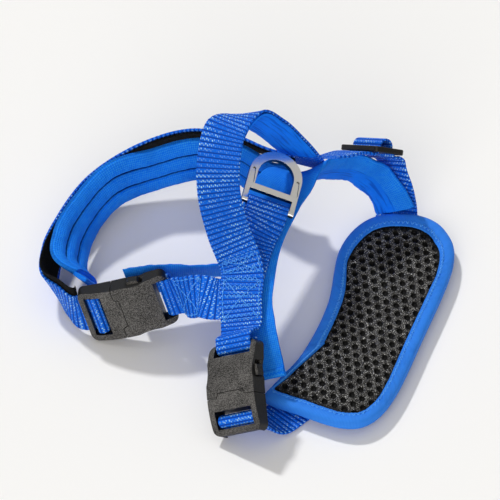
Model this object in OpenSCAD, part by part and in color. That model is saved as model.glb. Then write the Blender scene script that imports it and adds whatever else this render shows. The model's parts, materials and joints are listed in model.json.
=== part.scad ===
// No-pull dog harness, laid open on a table.
// The saddle with its handle and leash ring runs from the chest buckle to the neck.
// The girth loop lies to the left of it, and the chest loop with its pad to the right.
// Millimetres, +Z up, the origin under the middle of the harness on the table.

/* [Webbing] */
// Width of the webbing
web_w = 25; // [20:0.5:28]
// Thickness of the webbing
web_t = 1.6; // [1.2:0.1:2]
// Gap between sewn layers
ply_gap = 0.3; // [0.2:0.05:0.5]

/* [Saddle and handle] */
// Width of the saddle pad
saddle_w = 31; // [28:1:36]
// Thickness of the saddle pad
saddle_t = 4.5; // [3:0.25:6]
// Width of the padded neck arm
neck_w = 30; // [26:1:34]
// Thickness of the handle lining
lining_t = 2.4; // [1.5:0.1:3]
// Length of a folded hem at the end of a pad
hem_l = 9; // [6:0.5:12]
// Thickness of the cloth of a folded hem
hem_t = 0.9; // [0.6:0.1:1.2]

/* [Girth] */
// Width of the girth pad
girth_pad_w = 31; // [27:1:35]
// Thickness of the girth pad at its swells
girth_pad_t = 5.5; // [4:0.25:7]
// Depth of the two sewn channels in the girth pad
channel_d = 2.6; // [1:0.1:3]
// Width of the grip tape inside the girth webbing
tape_w = 22; // [16:0.5:24]
// Thickness of the grip tape
tape_t = 1.2; // [0.8:0.1:1.6]
// Width of the flap of padding behind the girth arm
flap_w = 28; // [22:1:32]
// Thickness of that flap
flap_t = 3.2; // [2:0.2:4]

/* [Chest pad] */
// Length of the chest pad
chest_l = 178; // [165:1:190]
// Width across its upper lobe
lobe_w = 68; // [62:1:74]
// Width across its waist
waist_w = 62; // [54:1:66]
// Width across its foot
foot_w = 64; // [58:1:70]
// Reach of the tip at its foot beyond the foot's left side
tip_reach = 13; // [8:1:18]
// Thickness at the middle of the chest pad
chest_t = 9; // [7:0.5:12]
// Thickness at the edge of the chest pad
edge_t = 5.5; // [4:0.25:7]
// Rise of the pad's edge above its middle
cup_h = 3; // [0:0.5:6]
// Width of the edge binding
binding_w = 8; // [6:0.5:10]
// Thickness of the air mesh face
mesh_t = 2.5; // [1.5:0.1:3.5]
// Thickness of the backing cloth
backing_t = 1; // [0.6:0.1:1.5]

/* [Buckles] */
// Width of a buckle's rail beside the webbing
rail_w = 4.5; // [4:0.25:6]
// Thickness at the middle of a buckle
buckle_t = 11; // [10:0.5:13]
// Radius of the crowned outer face
crown_r = 62; // [52:1:90]
// Radius of the hollow inner face
belly_r = 200; // [150:5:300]
// Diameter of the bars that carry webbing
bar_d = 4; // [3:0.25:5]
// Wall of the socket
wall = 2; // [1.6:0.1:2.6]
// Length of a latch arm in front of the plug
arm_l = 19; // [17:0.5:22]
// Thickness of a latch arm
arm_t = 2.6; // [2:0.1:3]
// Length of a latch arm's head
head_l = 9; // [7:0.5:10]
// How far a button stands out of the socket's side
button_h = 0.9; // [0.4:0.1:1.5]
// Width of the guide between the latch arms
guide_w = 5; // [4:0.5:7]
// Length of the plug's shoulder in front of its window
shoulder_l = 7.5; // [6.5:0.5:9]
// Length of the plug's end bar
end_bar_l = 3.4; // [2.8:0.2:4.5]
// Thickness of the plug's end bar
end_bar_t = 3.2; // [2.6:0.2:4]
// Clearance between plug and socket
fit_gap = 0.35; // [0.25:0.05:0.5]
// Width of the plug's tab in the socket's outer wall
tab_w = 21; // [16:1:23]
// Reach of that tab
tab_l = 2.8; // [2:0.2:4]

/* [Leash ring] */
// Width of the ring
ring_w = 32; // [30:0.5:36]
// Height of the ring from its bar to its top
ring_h = 35; // [32:0.5:40]
// Thickness of the ring
ring_t = 3.6; // [3:0.1:4.5]
// Diameter of the ring's bar
ring_bar_d = 4; // [3.5:0.1:4.5]
// Width of the arch of the ring
arch_w = 5; // [4.6:0.1:6]
// Height of the slot for the webbing
ring_slot_h = 5.4; // [5:0.2:7]
// Height of the crossbar
crossbar_h = 3.6; // [3:0.2:4.5]

/* [Slider] */
// Width of the slider's end and middle bars
slider_bar = 3.6; // [3:0.2:4.5]
// Room in the slider's slots along the webbing
slider_slot = 5.6; // [5:0.2:7]
// Thickness of the slider
slider_t = 3.4; // [2.8:0.2:4]
// Width of the slider's sides
slider_side = 3.6; // [3:0.2:5]

/* [Hidden] */

cloth_blue = [0.04, 0.36, 0.80];
trim_blue = [0.13, 0.48, 0.92];
plastic_black = [0.07, 0.07, 0.08];
fabric_black = [0.05, 0.05, 0.05];
ring_metal = [0.78, 0.76, 0.72];

// The point of the routes that stands over the origin, on the table
stand_at = [-1.6, 105.5, 0];
round_fn = 96;
// Stations between two points of a route
steps = 4;
steps_pad = 3;

// Vectors and places
function unit(v) = v / norm(v);
function square_to(v, t) = unit(v - (v * t) * t);

// A place: its origin, and its own x, y and z directions
function place(o, along, face) =
    let (x = unit(along), z = square_to(face, x))
    [o, x, cross(z, x), z];
function at(s, p) = s[0] + p[0] * s[1] + p[1] * s[2] + p[2] * s[3];

module placed(s) {
    multmatrix([for (i = [0:2]) [s[1][i], s[2][i], s[3][i], s[0][i] - stand_at[i]]])
        children();
}

// Routes: each station is a point and the direction across the strap
function curve(a, b, c, d, t) =
    0.5 * (2 * b + (c - a) * t + (2 * a - 5 * b + 4 * c - d) * t * t
        + (3 * b - a - 3 * c + d) * t * t * t);
function smooth(r, n) = let (last = len(r) - 1)
    concat([for (i = [0:last - 1], k = [0:n - 1])
        let (a = r[max(i - 1, 0)], b = r[i], c = r[i + 1], d = r[min(i + 2, last)], t = k / n)
        [curve(a[0], b[0], c[0], d[0], t), curve(a[1], b[1], c[1], d[1], t)]], [r[last]]);
function tail_of(r, from) = [for (i = [from:len(r) - 1]) r[i]];
function head_of(r, to) = [for (i = [0:to]) r[i]];

// The frame at a station: point, direction across, outward direction
function heading(r, i) = unit(r[min(i + 1, len(r) - 1)][0] - r[max(i - 1, 0)][0]);
function frame_at(r, i) = let (t = heading(r, i), w = square_to(r[i][1], t))
    [r[i][0], w, cross(w, t)];
function frames(r) = [for (i = [0:len(r) - 1]) frame_at(r, i)];

// A station lifted off another route and moved sideways on it
function lifted(r, i, lift, side) = let (f = frame_at(r, i))
    [f[0] + lift * f[2] + side * f[1], f[1]];

// Stations round a bar, in the x and z of a place, across its own y
function wrap(s, x, z, r, from, to, n, across) = [for (i = [0:n])
    let (a = from + (to - from) * i / n)
    [at(s, [x + r * cos(a), 0, z + r * sin(a)]), across * s[2]]];
function points(s, list, across) = [for (p = list) [at(s, [p[0], 0, p[1]]), across * s[2]]];

// A solid through rings. Each ring has its lower points from left to right,
// then its upper points from right to left, and both faces are cut along the same diagonals.
module loft(rings) {
    n = len(rings[0]);
    m = n / 2;
    last = len(rings) - 1;
    pts = [for (r = rings) each [for (p = r) p - stand_at]];
    sides = [for (i = [0:last - 1], j = [0:n - 1])
        let (a = i * n + j, b = i * n + (j + 1) % n)
        each j < m ? [[a, b, b + n], [a, b + n, a + n]] : [[a, b, a + n], [b, b + n, a + n]]];
    first_cap = [for (j = [0:m - 2]) each [[j, n - 2 - j, j + 1], [j, n - 1 - j, n - 2 - j]]];
    end = last * n;
    last_cap = [for (j = [0:m - 2])
        each [[end + j, end + j + 1, end + n - 2 - j], [end + j, end + n - 2 - j, end + n - 1 - j]]];
    polyhedron(pts, concat(sides, first_cap, last_cap));
}

// A solid round a closed outline, through rings that each close on themselves
module hoop(rings) {
    n = len(rings[0]);
    count = len(rings);
    pts = [for (r = rings) each [for (p = r) p - stand_at]];
    polyhedron(pts, [for (i = [0:count - 1], j = [0:n - 1])
        let (k = (i + 1) % count, a = i * n + j, b = i * n + (j + 1) % n,
            c = k * n + (j + 1) % n, d = k * n + j)
        each [[a, b, c], [a, c, d]]]);
}

// The ring of a flat section at a station: columns are [across, low, high]
function ring_at(f, cols) = let (last = len(cols) - 1) concat(
    [for (c = cols) f[0] + c[0] * f[1] + c[1] * f[2]],
    [for (i = [0:last]) let (c = cols[last - i]) f[0] + c[0] * f[1] + c[2] * f[2]]);

// Webbing of width w between two heights off its route
module band(stations, w, low, high) {
    loft([for (f = stations) ring_at(f, [[-w / 2, low, high], [w / 2, low, high]])]);
}

// A pad of width w whose outer face lies on its route, swelling inwards
function swell(s) = 0.35 + 0.65 * sqrt(max(0, 1 - pow(abs(s), 3)));
module pad(r, widths, t, columns) {
    fr = frames(r);
    loft([for (i = [0:len(fr) - 1]) ring_at(fr[i], [for (s = columns)
        [s * widths[i] / 2, -t * swell(s), t * (swell(s) - 1) * 0.3]])]);
}
pad_columns = [-1, -0.85, -0.5, 0, 0.5, 0.85, 1];

// Where the fittings lie
chest_at = place([-8, 12, 25], [0.06, -0.83, -0.55], [-0.61, -0.47, 0.64]);
girth_at = place([-76, 85.4, 22.6], [-0.94, 0, -0.3], [-0.15, -0.98, 0.15]);
ring_at_bar = place([10, 131, 61.5], [0.24, 0.92, 0.30], [0.27, -0.34, 0.9]);
slider_at = place([71.5, 190, 49.5], [0.76, 0.37, -0.53], [0.11, 0.73, 0.67]);

// Heights of the layers sewn on the saddle
first_ply = ply_gap + web_t / 2;
second_ply = first_ply + web_t + ply_gap;
third_ply = second_ply + web_t + ply_gap;
inner_face = web_t / 2 + ply_gap;

// The saddle line, on the pad's outer face, from the chest buckle to the neck
saddle_line = [
    [[6, 36, 20], [0.85, -0.2, 0.45]],
    [[0, 54, 37], [0.9, -0.1, 0.35]],
    [[-2.5, 70, 43], [0.97, -0.05, 0.15]],
    [[-1, 88, 48], [0.97, -0.1, 0]],
    [[3, 112, 52], [0.95, -0.2, -0.12]],
    [[12, 138, 54.5], [0.88, -0.4, -0.2]],
    [[22, 160, 54], [0.72, -0.65, -0.1]],
    [[36, 172, 52], [0.3, -0.5, 0.8]],
    [[50, 179, 45.5], [0.05, -0.33, 0.94]],
    [[62, 186.5, 34], [0, -0.2, 0.97]],
    [[71, 188, 25.8], [0.2, 0.05, 0.97]],
    [[78.3, 184.5, 17.4], [0.25, 0.05, 0.95]]];
saddle_route = smooth(saddle_line, steps_pad);
narrow_from = 18;
function saddle_width(i) = saddle_w
    + (neck_w - saddle_w) * max(0, min(1, (i - narrow_from) / 9));
saddle_widths = [for (i = [0:len(saddle_route) - 1]) saddle_width(i)];

module saddle_pad() {
    color(cloth_blue) pad(saddle_route, saddle_widths, saddle_t, pad_columns);
}

// The folded cloth over the near end of the saddle pad
module saddle_hem() {
    f = frame_at(saddle_route, 0);
    t = heading(saddle_route, 0);
    w = saddle_w;
    color(cloth_blue) loft([for (x = [-hem_l / 2, -ply_gap])
        ring_at([f[0] + x * t, f[1], f[2]],
            [[-w / 2, -saddle_t * 0.5, hem_t], [w / 2, -saddle_t * 0.5, hem_t]])]);
}

// Buckles, in their own frame: x runs out of the socket along the plug, z outwards
buckle_w = web_w + 2 * rail_w;
bar_r = bar_d / 2;
wrap_r = bar_r + ply_gap + web_t / 2;
pass_l = web_t + 2 * ply_gap + 0.9;
slot_w = web_w + 1.2;
slot_l = wrap_r + web_t / 2 + 1.6;
cavity_l = arm_l + 1.5;
socket_l = cavity_l + wall + slot_l + bar_r;
window_l = bar_d + 2 * pass_l;
plug_l = shoulder_l + window_l + end_bar_l;
middle_x = (plug_l - socket_l) / 2;
function crown_z(x) = buckle_t / 2 - crown_r + sqrt(crown_r * crown_r - pow(x - middle_x, 2));
function belly_z(x) = -buckle_t / 2 - belly_r + sqrt(belly_r * belly_r - pow(x - middle_x, 2));
tail_x = -socket_l;
tail_z = (crown_z(tail_x) + belly_z(tail_x)) / 2;
cavity_w = buckle_w - 2 * wall;
cavity_top = crown_z(-cavity_l) - wall * 0.7;
cavity_low = belly_z(0) + wall * 0.7;
arm_low = cavity_low + fit_gap;
arm_h = cavity_top - cavity_low - 2 * fit_gap;
root_x = 3.2;
root_r = 2;
root_gap = 0.08;
root_y = cavity_w / 2 - fit_gap - root_r - 0.9;
mid_bar_x = shoulder_l + pass_l + bar_r;
mid_bar_z = crown_z(mid_bar_x) - 0.5 - web_t / 2 - wrap_r;
end_bar_x = plug_l - end_bar_l;
end_bar_low = crown_z(plug_l) - end_bar_t;
lead_z = end_bar_low - ply_gap - web_t / 2 - 0.6;
corner = 4;

// The crowned block that both halves are cut from
module crowned_block(from, to) {
    intersection() {
        difference() {
            translate([middle_x, 0, buckle_t / 2 - crown_r])
                rotate([90, 0, 0])
                    cylinder(r = crown_r, h = buckle_w + 2, center = true, $fn = 2 * round_fn);
            translate([middle_x, 0, -buckle_t / 2 - belly_r])
                rotate([90, 0, 0])
                    cylinder(r = belly_r, h = buckle_w + 4, center = true, $fn = 4 * round_fn);
        }
        translate([0, 0, -buckle_t * 1.5])
            linear_extrude(buckle_t * 3)
                polygon(block_outline(from, to));
    }
}
// Plan of a half: square where the halves meet, rounded at its outer end
function block_outline(from, to) =
    let (out = from < to ? 1 : -1, h = buckle_w / 2, half = round_fn / 16)
    concat([[from, -h]],
        [for (i = [0:half]) let (a = 90 * i / half)
            [to - out * corner * (1 - sin(a)), -h + corner * (1 - cos(a))]],
        [for (i = [0:half]) let (a = 90 * i / half)
            [to - out * corner * (1 - cos(a)), h - corner * (1 - sin(a))]],
        [[from, h]]);

module block(low, high) {
    translate(low) cube(high - low);
}

// Plan of the tab that steps the line where the halves meet
module tab_plan(grow) {
    half = tab_w / 2 + grow;
    reach = tab_l + grow;
    polygon([[1, -half], [1, half], [-reach, half - tab_l * 0.6], [-reach, tab_l * 0.6 - half]]);
}

module socket() {
    difference() {
        crowned_block(-fit_gap / 2, tail_x - bar_r);
        // Mouth and cavity
        block([-cavity_l, -cavity_w / 2, cavity_low], [1, cavity_w / 2, cavity_top]);
        // Notch for the plug's tab
        linear_extrude(buckle_t) tab_plan(fit_gap);
        // Slot for the webbing, open over the bar
        block([tail_x - bar_d, -slot_w / 2, -buckle_t * 2],
            [tail_x + slot_l, slot_w / 2, buckle_t]);
        // Windows for the two buttons
        for (side = [-1, 1])
            translate([0, side * buckle_w / 2, 0])
                block([-arm_l - fit_gap, -wall * 1.5, arm_low - fit_gap],
                    [-arm_l + head_l + fit_gap, wall * 1.5, arm_low + arm_h + fit_gap]);
        // Thumb hollows round the windows
        for (side = [-1, 1])
            translate([-arm_l + head_l / 2, side * (buckle_w / 2 + head_l * 2.4), 0])
                cylinder(r = head_l * 2.5, h = buckle_t * 3, center = true, $fn = round_fn);
    }
    translate([tail_x, 0, tail_z])
        rotate([90, 0, 0])
            cylinder(r = bar_r, h = slot_w + 2, center = true, $fn = round_fn);
}

module plug() {
    window_end = shoulder_l + window_l;
    difference() {
        union() {
            crowned_block(fit_gap / 2, plug_l);
            intersection() {
                crowned_block(-tab_l - 1, plug_l);
                translate([0, 0, cavity_top]) linear_extrude(buckle_t) tab_plan(0);
            }
            // Guide between the arms
            block([-arm_l * 0.7, -guide_w / 2, arm_low], [1, guide_w / 2, arm_low + arm_h]);
        }
        block([shoulder_l, -slot_w / 2, -buckle_t * 2], [window_end, slot_w / 2, buckle_t]);
        // The webbing leaves under the end bar
        block([window_end - 1, -slot_w / 2, -buckle_t * 2], [plug_l + 1, slot_w / 2, end_bar_low]);
        // Seats of the two latch arms
        for (side = [-1, 1]) {
            translate([root_x, side * root_y, arm_low - fit_gap])
                cylinder(r = root_r + root_gap, h = arm_h + 2 * fit_gap, $fn = round_fn);
            translate([0, side * root_y, 0])
                block([-1, -arm_t / 2 - 0.9, arm_low - fit_gap],
                    [root_x, arm_t / 2 + 0.9, arm_low + arm_h + fit_gap]);
        }
    }
    translate([mid_bar_x, 0, mid_bar_z])
        rotate([90, 0, 0])
            cylinder(r = bar_r, h = slot_w + 2, center = true, $fn = round_fn);
}

// A latch arm on the +y side: a beam with a barbed head whose side is the button
module latch_arm() {
    inner = -arm_t / 2;
    outer = arm_t / 2;
    button = buckle_w / 2 + button_h - root_y;
    head_x = -arm_l + head_l;
    translate([0, root_y, arm_low]) {
        translate([root_x, 0, 0]) cylinder(r = root_r, h = arm_h, $fn = round_fn);
        linear_extrude(arm_h)
            polygon([[root_x, inner], [root_x, outer], [head_x, outer], [head_x, button],
                [head_x - 1.2, button + 0.3], [head_x - head_l * 0.7, button - 0.3],
                [-arm_l, outer + 0.4], [-arm_l, inner], [head_x - 1, inner - 0.4]]);
    }
}

module girth_socket() {
    color(plastic_black) placed(girth_at) socket();
}
module girth_plug() {
    color(plastic_black) placed(girth_at) plug();
}
module girth_latch_upper() {
    color(plastic_black) placed(girth_at) mirror([0, 1, 0]) latch_arm();
}
module girth_latch_lower() {
    color(plastic_black) placed(girth_at) latch_arm();
}
module chest_socket() {
    color(plastic_black) placed(chest_at) socket();
}
module chest_plug() {
    color(plastic_black) placed(chest_at) plug();
}
module chest_latch_left() {
    color(plastic_black) placed(chest_at) mirror([0, 1, 0]) latch_arm();
}
module chest_latch_right() {
    color(plastic_black) placed(chest_at) latch_arm();
}

// Webbing round a socket's bar, from its sewn tail to the layer on the outside
sewn_l = 4;
function socket_wrap(s, across) = concat(
    points(s, [[tail_x - sewn_l, tail_z - wrap_r * 1.1], [tail_x - sewn_l / 2, tail_z - wrap_r * 1.05]], across),
    wrap(s, tail_x, tail_z, wrap_r, -90, 90, 8, across));

// Webbing over a plug's middle bar, from its tail to where it leaves under the end bar
function plug_wrap(s, tail, across) = concat(
    points(s, [[mid_bar_x + tail, mid_bar_z - wrap_r * 2.3],
        [mid_bar_x, mid_bar_z - wrap_r * 2.1], [mid_bar_x - wrap_r * 0.8, mid_bar_z - wrap_r * 1.4]], across),
    wrap(s, mid_bar_x, mid_bar_z, wrap_r, 180, 0, 8, across),
    points(s, [[mid_bar_x + wrap_r, lead_z + 1.6], [end_bar_x, lead_z],
        [plug_l + 3, lead_z - 0.8]], across));

// Webbing over a plug's middle bar that drops out of the window behind the plug
function plug_drop(s, across) = concat(
    points(s, [[mid_bar_x - wrap_r * 0.7, mid_bar_z - wrap_r * 2.6],
        [mid_bar_x - wrap_r, mid_bar_z - wrap_r]], across),
    wrap(s, mid_bar_x, mid_bar_z, wrap_r, 180, 0, 8, across),
    points(s, [[mid_bar_x + wrap_r, mid_bar_z - wrap_r], [mid_bar_x + wrap_r, mid_bar_z - wrap_r * 2.2]], across));

// Saddle webbing: round the chest socket's bar, up the saddle and over as the handle
handle_line = [
    [[-13, 103, 71], [0.98, 0.15, 0]],
    [[-18, 115, 89], [1, 0.05, 0]],
    [[-18, 127, 104], [1, 0.05, 0.05]],
    [[-13, 144, 114], [1, 0, 0.1]],
    [[-2, 156, 112], [0.9, -0.2, 0.35]],
    [[11, 162, 98], [0.65, -0.35, 0.65]],
    [[23, 168, 78], [0.6, -0.45, 0.65]],
    [[32.4, 175.8, 57.6], [0.42, -0.58, 0.7]]];
chest_wrap = socket_wrap(chest_at, 1);
saddle_web_route = concat(head_of(chest_wrap, len(chest_wrap) - 2),
    smooth(concat([chest_wrap[len(chest_wrap) - 1]],
        points(chest_at, [[tail_x - 5, tail_z + wrap_r]], 1),
        [lifted(saddle_line, 1, third_ply + 2.5, -3.5), lifted(saddle_line, 2, third_ply + 0.8, -2),
            lifted(saddle_line, 3, third_ply + 0.6, -3.5)],
        handle_line), steps));

module saddle_webbing() {
    color(cloth_blue) band(frames(saddle_web_route), web_w, -web_t / 2, web_t / 2);
}

module handle_lining() {
    all_frames = frames(saddle_web_route);
    last = len(all_frames) - 1;
    handle_frames = tail_of(head_of(all_frames, last - 3), last - (len(handle_line) - 1) * steps);
    color(trim_blue) band(handle_frames, web_w, -inner_face - lining_t, -inner_face);
}

// Ring strap: two layers of webbing folded round the bar of the leash ring
ring_wrap_r = ring_bar_d / 2 + ply_gap + web_t / 2;
ring_across = -1;
function ring_points(list) = points(ring_at_bar, list, ring_across);
ring_strap_route = concat(
    smooth(concat([lifted(saddle_line, 3, first_ply, -2.5), lifted(saddle_line, 4, first_ply + 1, -0.5)],
        ring_points([[-8, -ring_wrap_r * 0.9], [0, -ring_wrap_r]])), steps_pad),
    tail_of(wrap(ring_at_bar, 0, 0, ring_wrap_r, -90, 90, 8, ring_across), 1),
    tail_of(smooth(concat(ring_points([[0, ring_wrap_r], [-8, ring_wrap_r * 0.6]]),
        [lifted(saddle_line, 4, second_ply + 1, -0.5), lifted(saddle_line, 3, second_ply, -2.5)]),
        steps_pad), 1));

module ring_strap() {
    color(cloth_blue) band(frames(ring_strap_route), web_w, -web_t / 2, web_t / 2);
}

// Leash ring, in its own frame: x from the bar to the top, y along the bar, z outwards
eye_low = ring_bar_d / 2 + ring_slot_h + crossbar_h;
eye_r = ring_w / 2 - arch_w;
arch_x = ring_h - ring_w / 2;
tear_w = arch_w * 0.36;
tear_l = 8;
tear_d = ring_t * 0.3;

module arch_plan(r, low) {
    union() {
        translate([arch_x, 0]) circle(r = r, $fn = round_fn);
        translate([low, -r]) square([arch_x - low, 2 * r]);
    }
}

module ring_plan() {
    difference() {
        arch_plan(ring_w / 2, 0);
        difference() {
            arch_plan(eye_r, eye_low);
            translate([eye_low - 2 * eye_r, -ring_w]) square([2 * eye_r, 2 * ring_w]);
        }
        translate([-1, -slot_w / 2]) square([ring_bar_d / 2 + ring_slot_h + 1, slot_w]);
    }
}

// A tear-shaped hollow beside the eye
module tear_plan(side) {
    translate([eye_low + 1, side * (eye_r + arch_w / 2)])
        union() {
            circle(r = tear_w, $fn = round_fn / 2);
            translate([tear_l, 0]) circle(r = tear_w / 2, $fn = round_fn / 2);
            polygon([[0, -tear_w], [tear_l, -tear_w / 2], [tear_l, tear_w / 2], [0, tear_w]]);
        }
}

module leash_ring() {
    color(ring_metal) placed(ring_at_bar) {
        difference() {
            translate([0, 0, -ring_t / 2]) linear_extrude(ring_t) ring_plan();
            for (side = [-1, 1], face = [-1, 1])
                translate([0, 0, face * ring_t / 2 - tear_d]) linear_extrude(2 * tear_d) tear_plan(side);
        }
        rotate([90, 0, 0]) cylinder(d = ring_bar_d, h = ring_w, center = true, $fn = round_fn);
    }
}

// Girth arm: webbing from under the saddle webbing to the girth socket's bar
arm_up = 4;
function arm_station(lift, side) = let (along =
    unit(lifted(saddle_line, 3, lift, side)[0] - lifted(saddle_line, 1, lift, side)[0]))
    [lifted(saddle_line, 2, lift, side)[0] + arm_up * along, along];
arm_lift = first_ply + 0.2;
girth_wrap = socket_wrap(girth_at, -1);
girth_arm_route = concat(
    smooth(concat([arm_station(arm_lift, -4), arm_station(arm_lift, -saddle_w / 2 - 2.5),
        [[-28.5, 77.5, 41.5], [0, 0.84, 0.54]], [[-37, 80.5, 37.5], [-0.15, 0.5, 0.85]]],
        points(girth_at, [[tail_x - 5, tail_z + wrap_r], [tail_x, tail_z + wrap_r]], -1)), steps),
    tail_of(wrap(girth_at, tail_x, tail_z, wrap_r, 90, -90, 8, -1), 1),
    points(girth_at, [[tail_x - sewn_l / 2, tail_z - wrap_r], [tail_x - sewn_l, tail_z - wrap_r]], -1));

module girth_arm_webbing() {
    color(cloth_blue) band(frames(girth_arm_route), web_w, -web_t / 2, web_t / 2);
}

// The flap of padding that stands behind the girth arm
flap_route = smooth([
    [[-12, 107, 32], [0, -0.5, 0.86]],
    [[-32, 105, 32], [0, -0.5, 0.86]],
    [[-52, 102, 30.8], [-0.05, -0.2, 0.95]],
    [[-70, 99, 26.6], [-0.1, 0.1, 0.98]]], steps_pad);

module girth_arm_flap() {
    color(cloth_blue) pad(flap_route, [for (s = flap_route) flap_w], flap_t, pad_columns);
}

// Girth webbing: from the girth plug round the left and far side to the saddle
girth_line = [
    [[-109, 102, 14], [-0.3, 0.08, 0.94]],
    [[-116, 115, 12.7], [-0.4, -0.2, 0.9]],
    [[-116, 137, 12.7], [-0.4, -0.2, 0.9]],
    [[-109, 160, 13.5], [-0.35, -0.2, 0.92]],
    [[-92, 190, 19], [-0.2, -0.2, 0.95]],
    [[-65, 207, 33], [0, -0.5, 0.86]],
    [[-35, 213, 40], [0, -0.55, 0.83]],
    [[-8, 204.5, 44], [0, -0.6, 0.8]],
    [[15, 190, 47], [-0.1, -0.6, 0.75]]];
girth_plug_wrap = plug_wrap(girth_at, 7, -1);
girth_lead = girth_plug_wrap[len(girth_plug_wrap) - 1];
girth_free_route = smooth(concat([girth_lead], girth_line), steps);
girth_web_route = concat(head_of(girth_plug_wrap, len(girth_plug_wrap) - 2), girth_free_route);

module girth_webbing() {
    color(cloth_blue) band(frames(girth_web_route), web_w, -web_t / 2, web_t / 2);
}

// The tape stands over the webbing's edge beside the buckle
tape_peek = 8;
module girth_grip_tape() {
    run = tail_of(frames(girth_free_route), steps);
    raised = [for (i = [0:len(run) - 1]) let (f = run[i])
        [f[0] + tape_peek * max(0, 1 - i / (3 * steps)) * f[1], f[1], f[2]]];
    color(fabric_black) band(raised, tape_w, -inner_face - tape_t, -inner_face);
}

// Girth pad: three swells between two sewn channels, on its inner face
girth_pad_line = [
    [[-96.5, 114, 17], [-0.35, -0.45, 0.82]],
    [[-106, 125.5, 17.2], [-0.6, -0.35, 0.72]],
    [[-106, 142, 17.5], [-0.62, -0.25, 0.73]],
    [[-99.2, 163, 19.5], [-0.55, -0.2, 0.8]],
    [[-82, 186, 25], [-0.32, 0.1, 0.93]],
    [[-57, 201, 24], [0, 0.12, 0.99]],
    [[-30, 205, 29], [0, 0.08, 1]],
    [[-6, 197.5, 32.5], [0, 0.05, 1]],
    [[14, 184, 31], [0.1, 0.2, 0.95]]];
girth_pad_route = smooth(girth_pad_line, steps_pad);
girth_columns = [-1, -0.9, -0.62, -0.36, -0.33, -0.3, 0, 0.3, 0.33, 0.36, 0.62, 0.9, 1];
function girth_swell(s) = let (u = abs(s), in_channel = abs(u - 0.33) < 0.01)
    girth_pad_t * swell(s) - (in_channel ? channel_d : 0);

module girth_pad() {
    color(cloth_blue) loft([for (f = frames(girth_pad_route)) ring_at(f, [for (s = girth_columns)
        [s * girth_pad_w / 2, -girth_swell(s), girth_pad_t * (swell(s) - 1) * 0.3]])]);
}

module girth_pad_hem() {
    f = frame_at(girth_pad_route, 0);
    t = heading(girth_pad_route, 0);
    w = girth_pad_w;
    color(cloth_blue) loft([for (x = [-hem_l, -ply_gap])
        ring_at([f[0] + x * t, f[1], f[2]],
            [[-w / 2, -girth_pad_t * 0.45, hem_t], [w / 2, -girth_pad_t * 0.45, hem_t]])]);
}

// Chest webbing: from the chest plug, folded under and along the pad's back
chest_low = web_t / 2;
chest_plug_wrap = plug_drop(chest_at, -1);
chest_web_route = concat(head_of(chest_plug_wrap, len(chest_plug_wrap) - 2),
    smooth(concat([chest_plug_wrap[len(chest_plug_wrap) - 1]], [
        [[2.4, 6, 7.5], [-0.85, 0.42, -0.32]],
        [[11, 11.5, chest_low + 2.2], [-0.85, 0.5, -0.04]],
        [[22, 22, chest_low + 0.5], [-0.82, 0.57, 0]],
        [[40, 48, chest_low + 0.1], [-0.88, 0.47, 0]],
        [[58, 92, chest_low], [-0.97, 0.25, 0]],
        [[68, 128, chest_low], [-0.97, 0.25, 0]],
        [[76, 157, chest_low], [-0.97, 0.25, 0]]]), steps));

module chest_webbing() {
    color(cloth_blue) band(frames(chest_web_route), web_w, -web_t / 2, web_t / 2);
}

// Chest pad, lying on its webbing with the mesh face up. Its own frame has x
// from the foot to the top and y to the left.
pad_z = chest_low + web_t / 2 + ply_gap;
chest_pad_at = place([50, 6, pad_z], [0.251, 0.968, 0], [0, 0, 1]);
tip_l = 12;
chest_outline_points = [
    [chest_l - 1, -2], [chest_l * 0.95, -lobe_w * 0.33], [chest_l * 0.8, -lobe_w / 2],
    [chest_l * 0.43, -waist_w / 2], [chest_l * 0.17, -foot_w * 0.42], [chest_l * 0.04, -foot_w * 0.28],
    [0, -foot_w * 0.03], [chest_l * 0.025, foot_w * 0.4], [tip_l * 0.75, foot_w / 2 + tip_reach],
    [tip_l * 1.5, foot_w / 2 + tip_reach - 1], [chest_l * 0.28, waist_w * 0.54], [chest_l * 0.52, waist_w * 0.47],
    [chest_l * 0.78, lobe_w * 0.49], [chest_l * 0.94, lobe_w * 0.33]];
outline_steps = 4;
outline_count = len(chest_outline_points) * outline_steps;
function outline_point(i) = let (n = len(chest_outline_points), k = floor(i / outline_steps),
    t = (i % outline_steps) / outline_steps, p = chest_outline_points)
    curve(p[(k + n - 1) % n], p[k % n], p[(k + 1) % n], p[(k + 2) % n], t);
function outline_inward(i) = let (n = outline_count,
    d = outline_point((i + 1) % n) - outline_point((i + n - 1) % n)) [d[1], -d[0]] / norm(d);

// A point a depth inside the outline, on the line to the pad's middle. The binding is wider at the top.
top_flare = 0.45;
pad_middle = [chest_l * 0.48, 0];
function inset(i, depth) = let (p = outline_point(i), to = unit(pad_middle - p),
    top = max(0, (p[0] / chest_l - 0.8) / 0.2))
    p + depth * (1 + top_flare * top) / max(0.45, to * outline_inward(i)) * to;

// Height of the pad's back and the share of its thickness, from middle (0) to edge (1)
function pad_place(p, reach, share) =
    at(chest_pad_at, [p[0], p[1], cup_h * reach * reach
        + share * (edge_t + (chest_t - edge_t) * (1 - pow(reach, 3)))]);

reaches = [0, 0.4, 0.75, 1];
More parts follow.
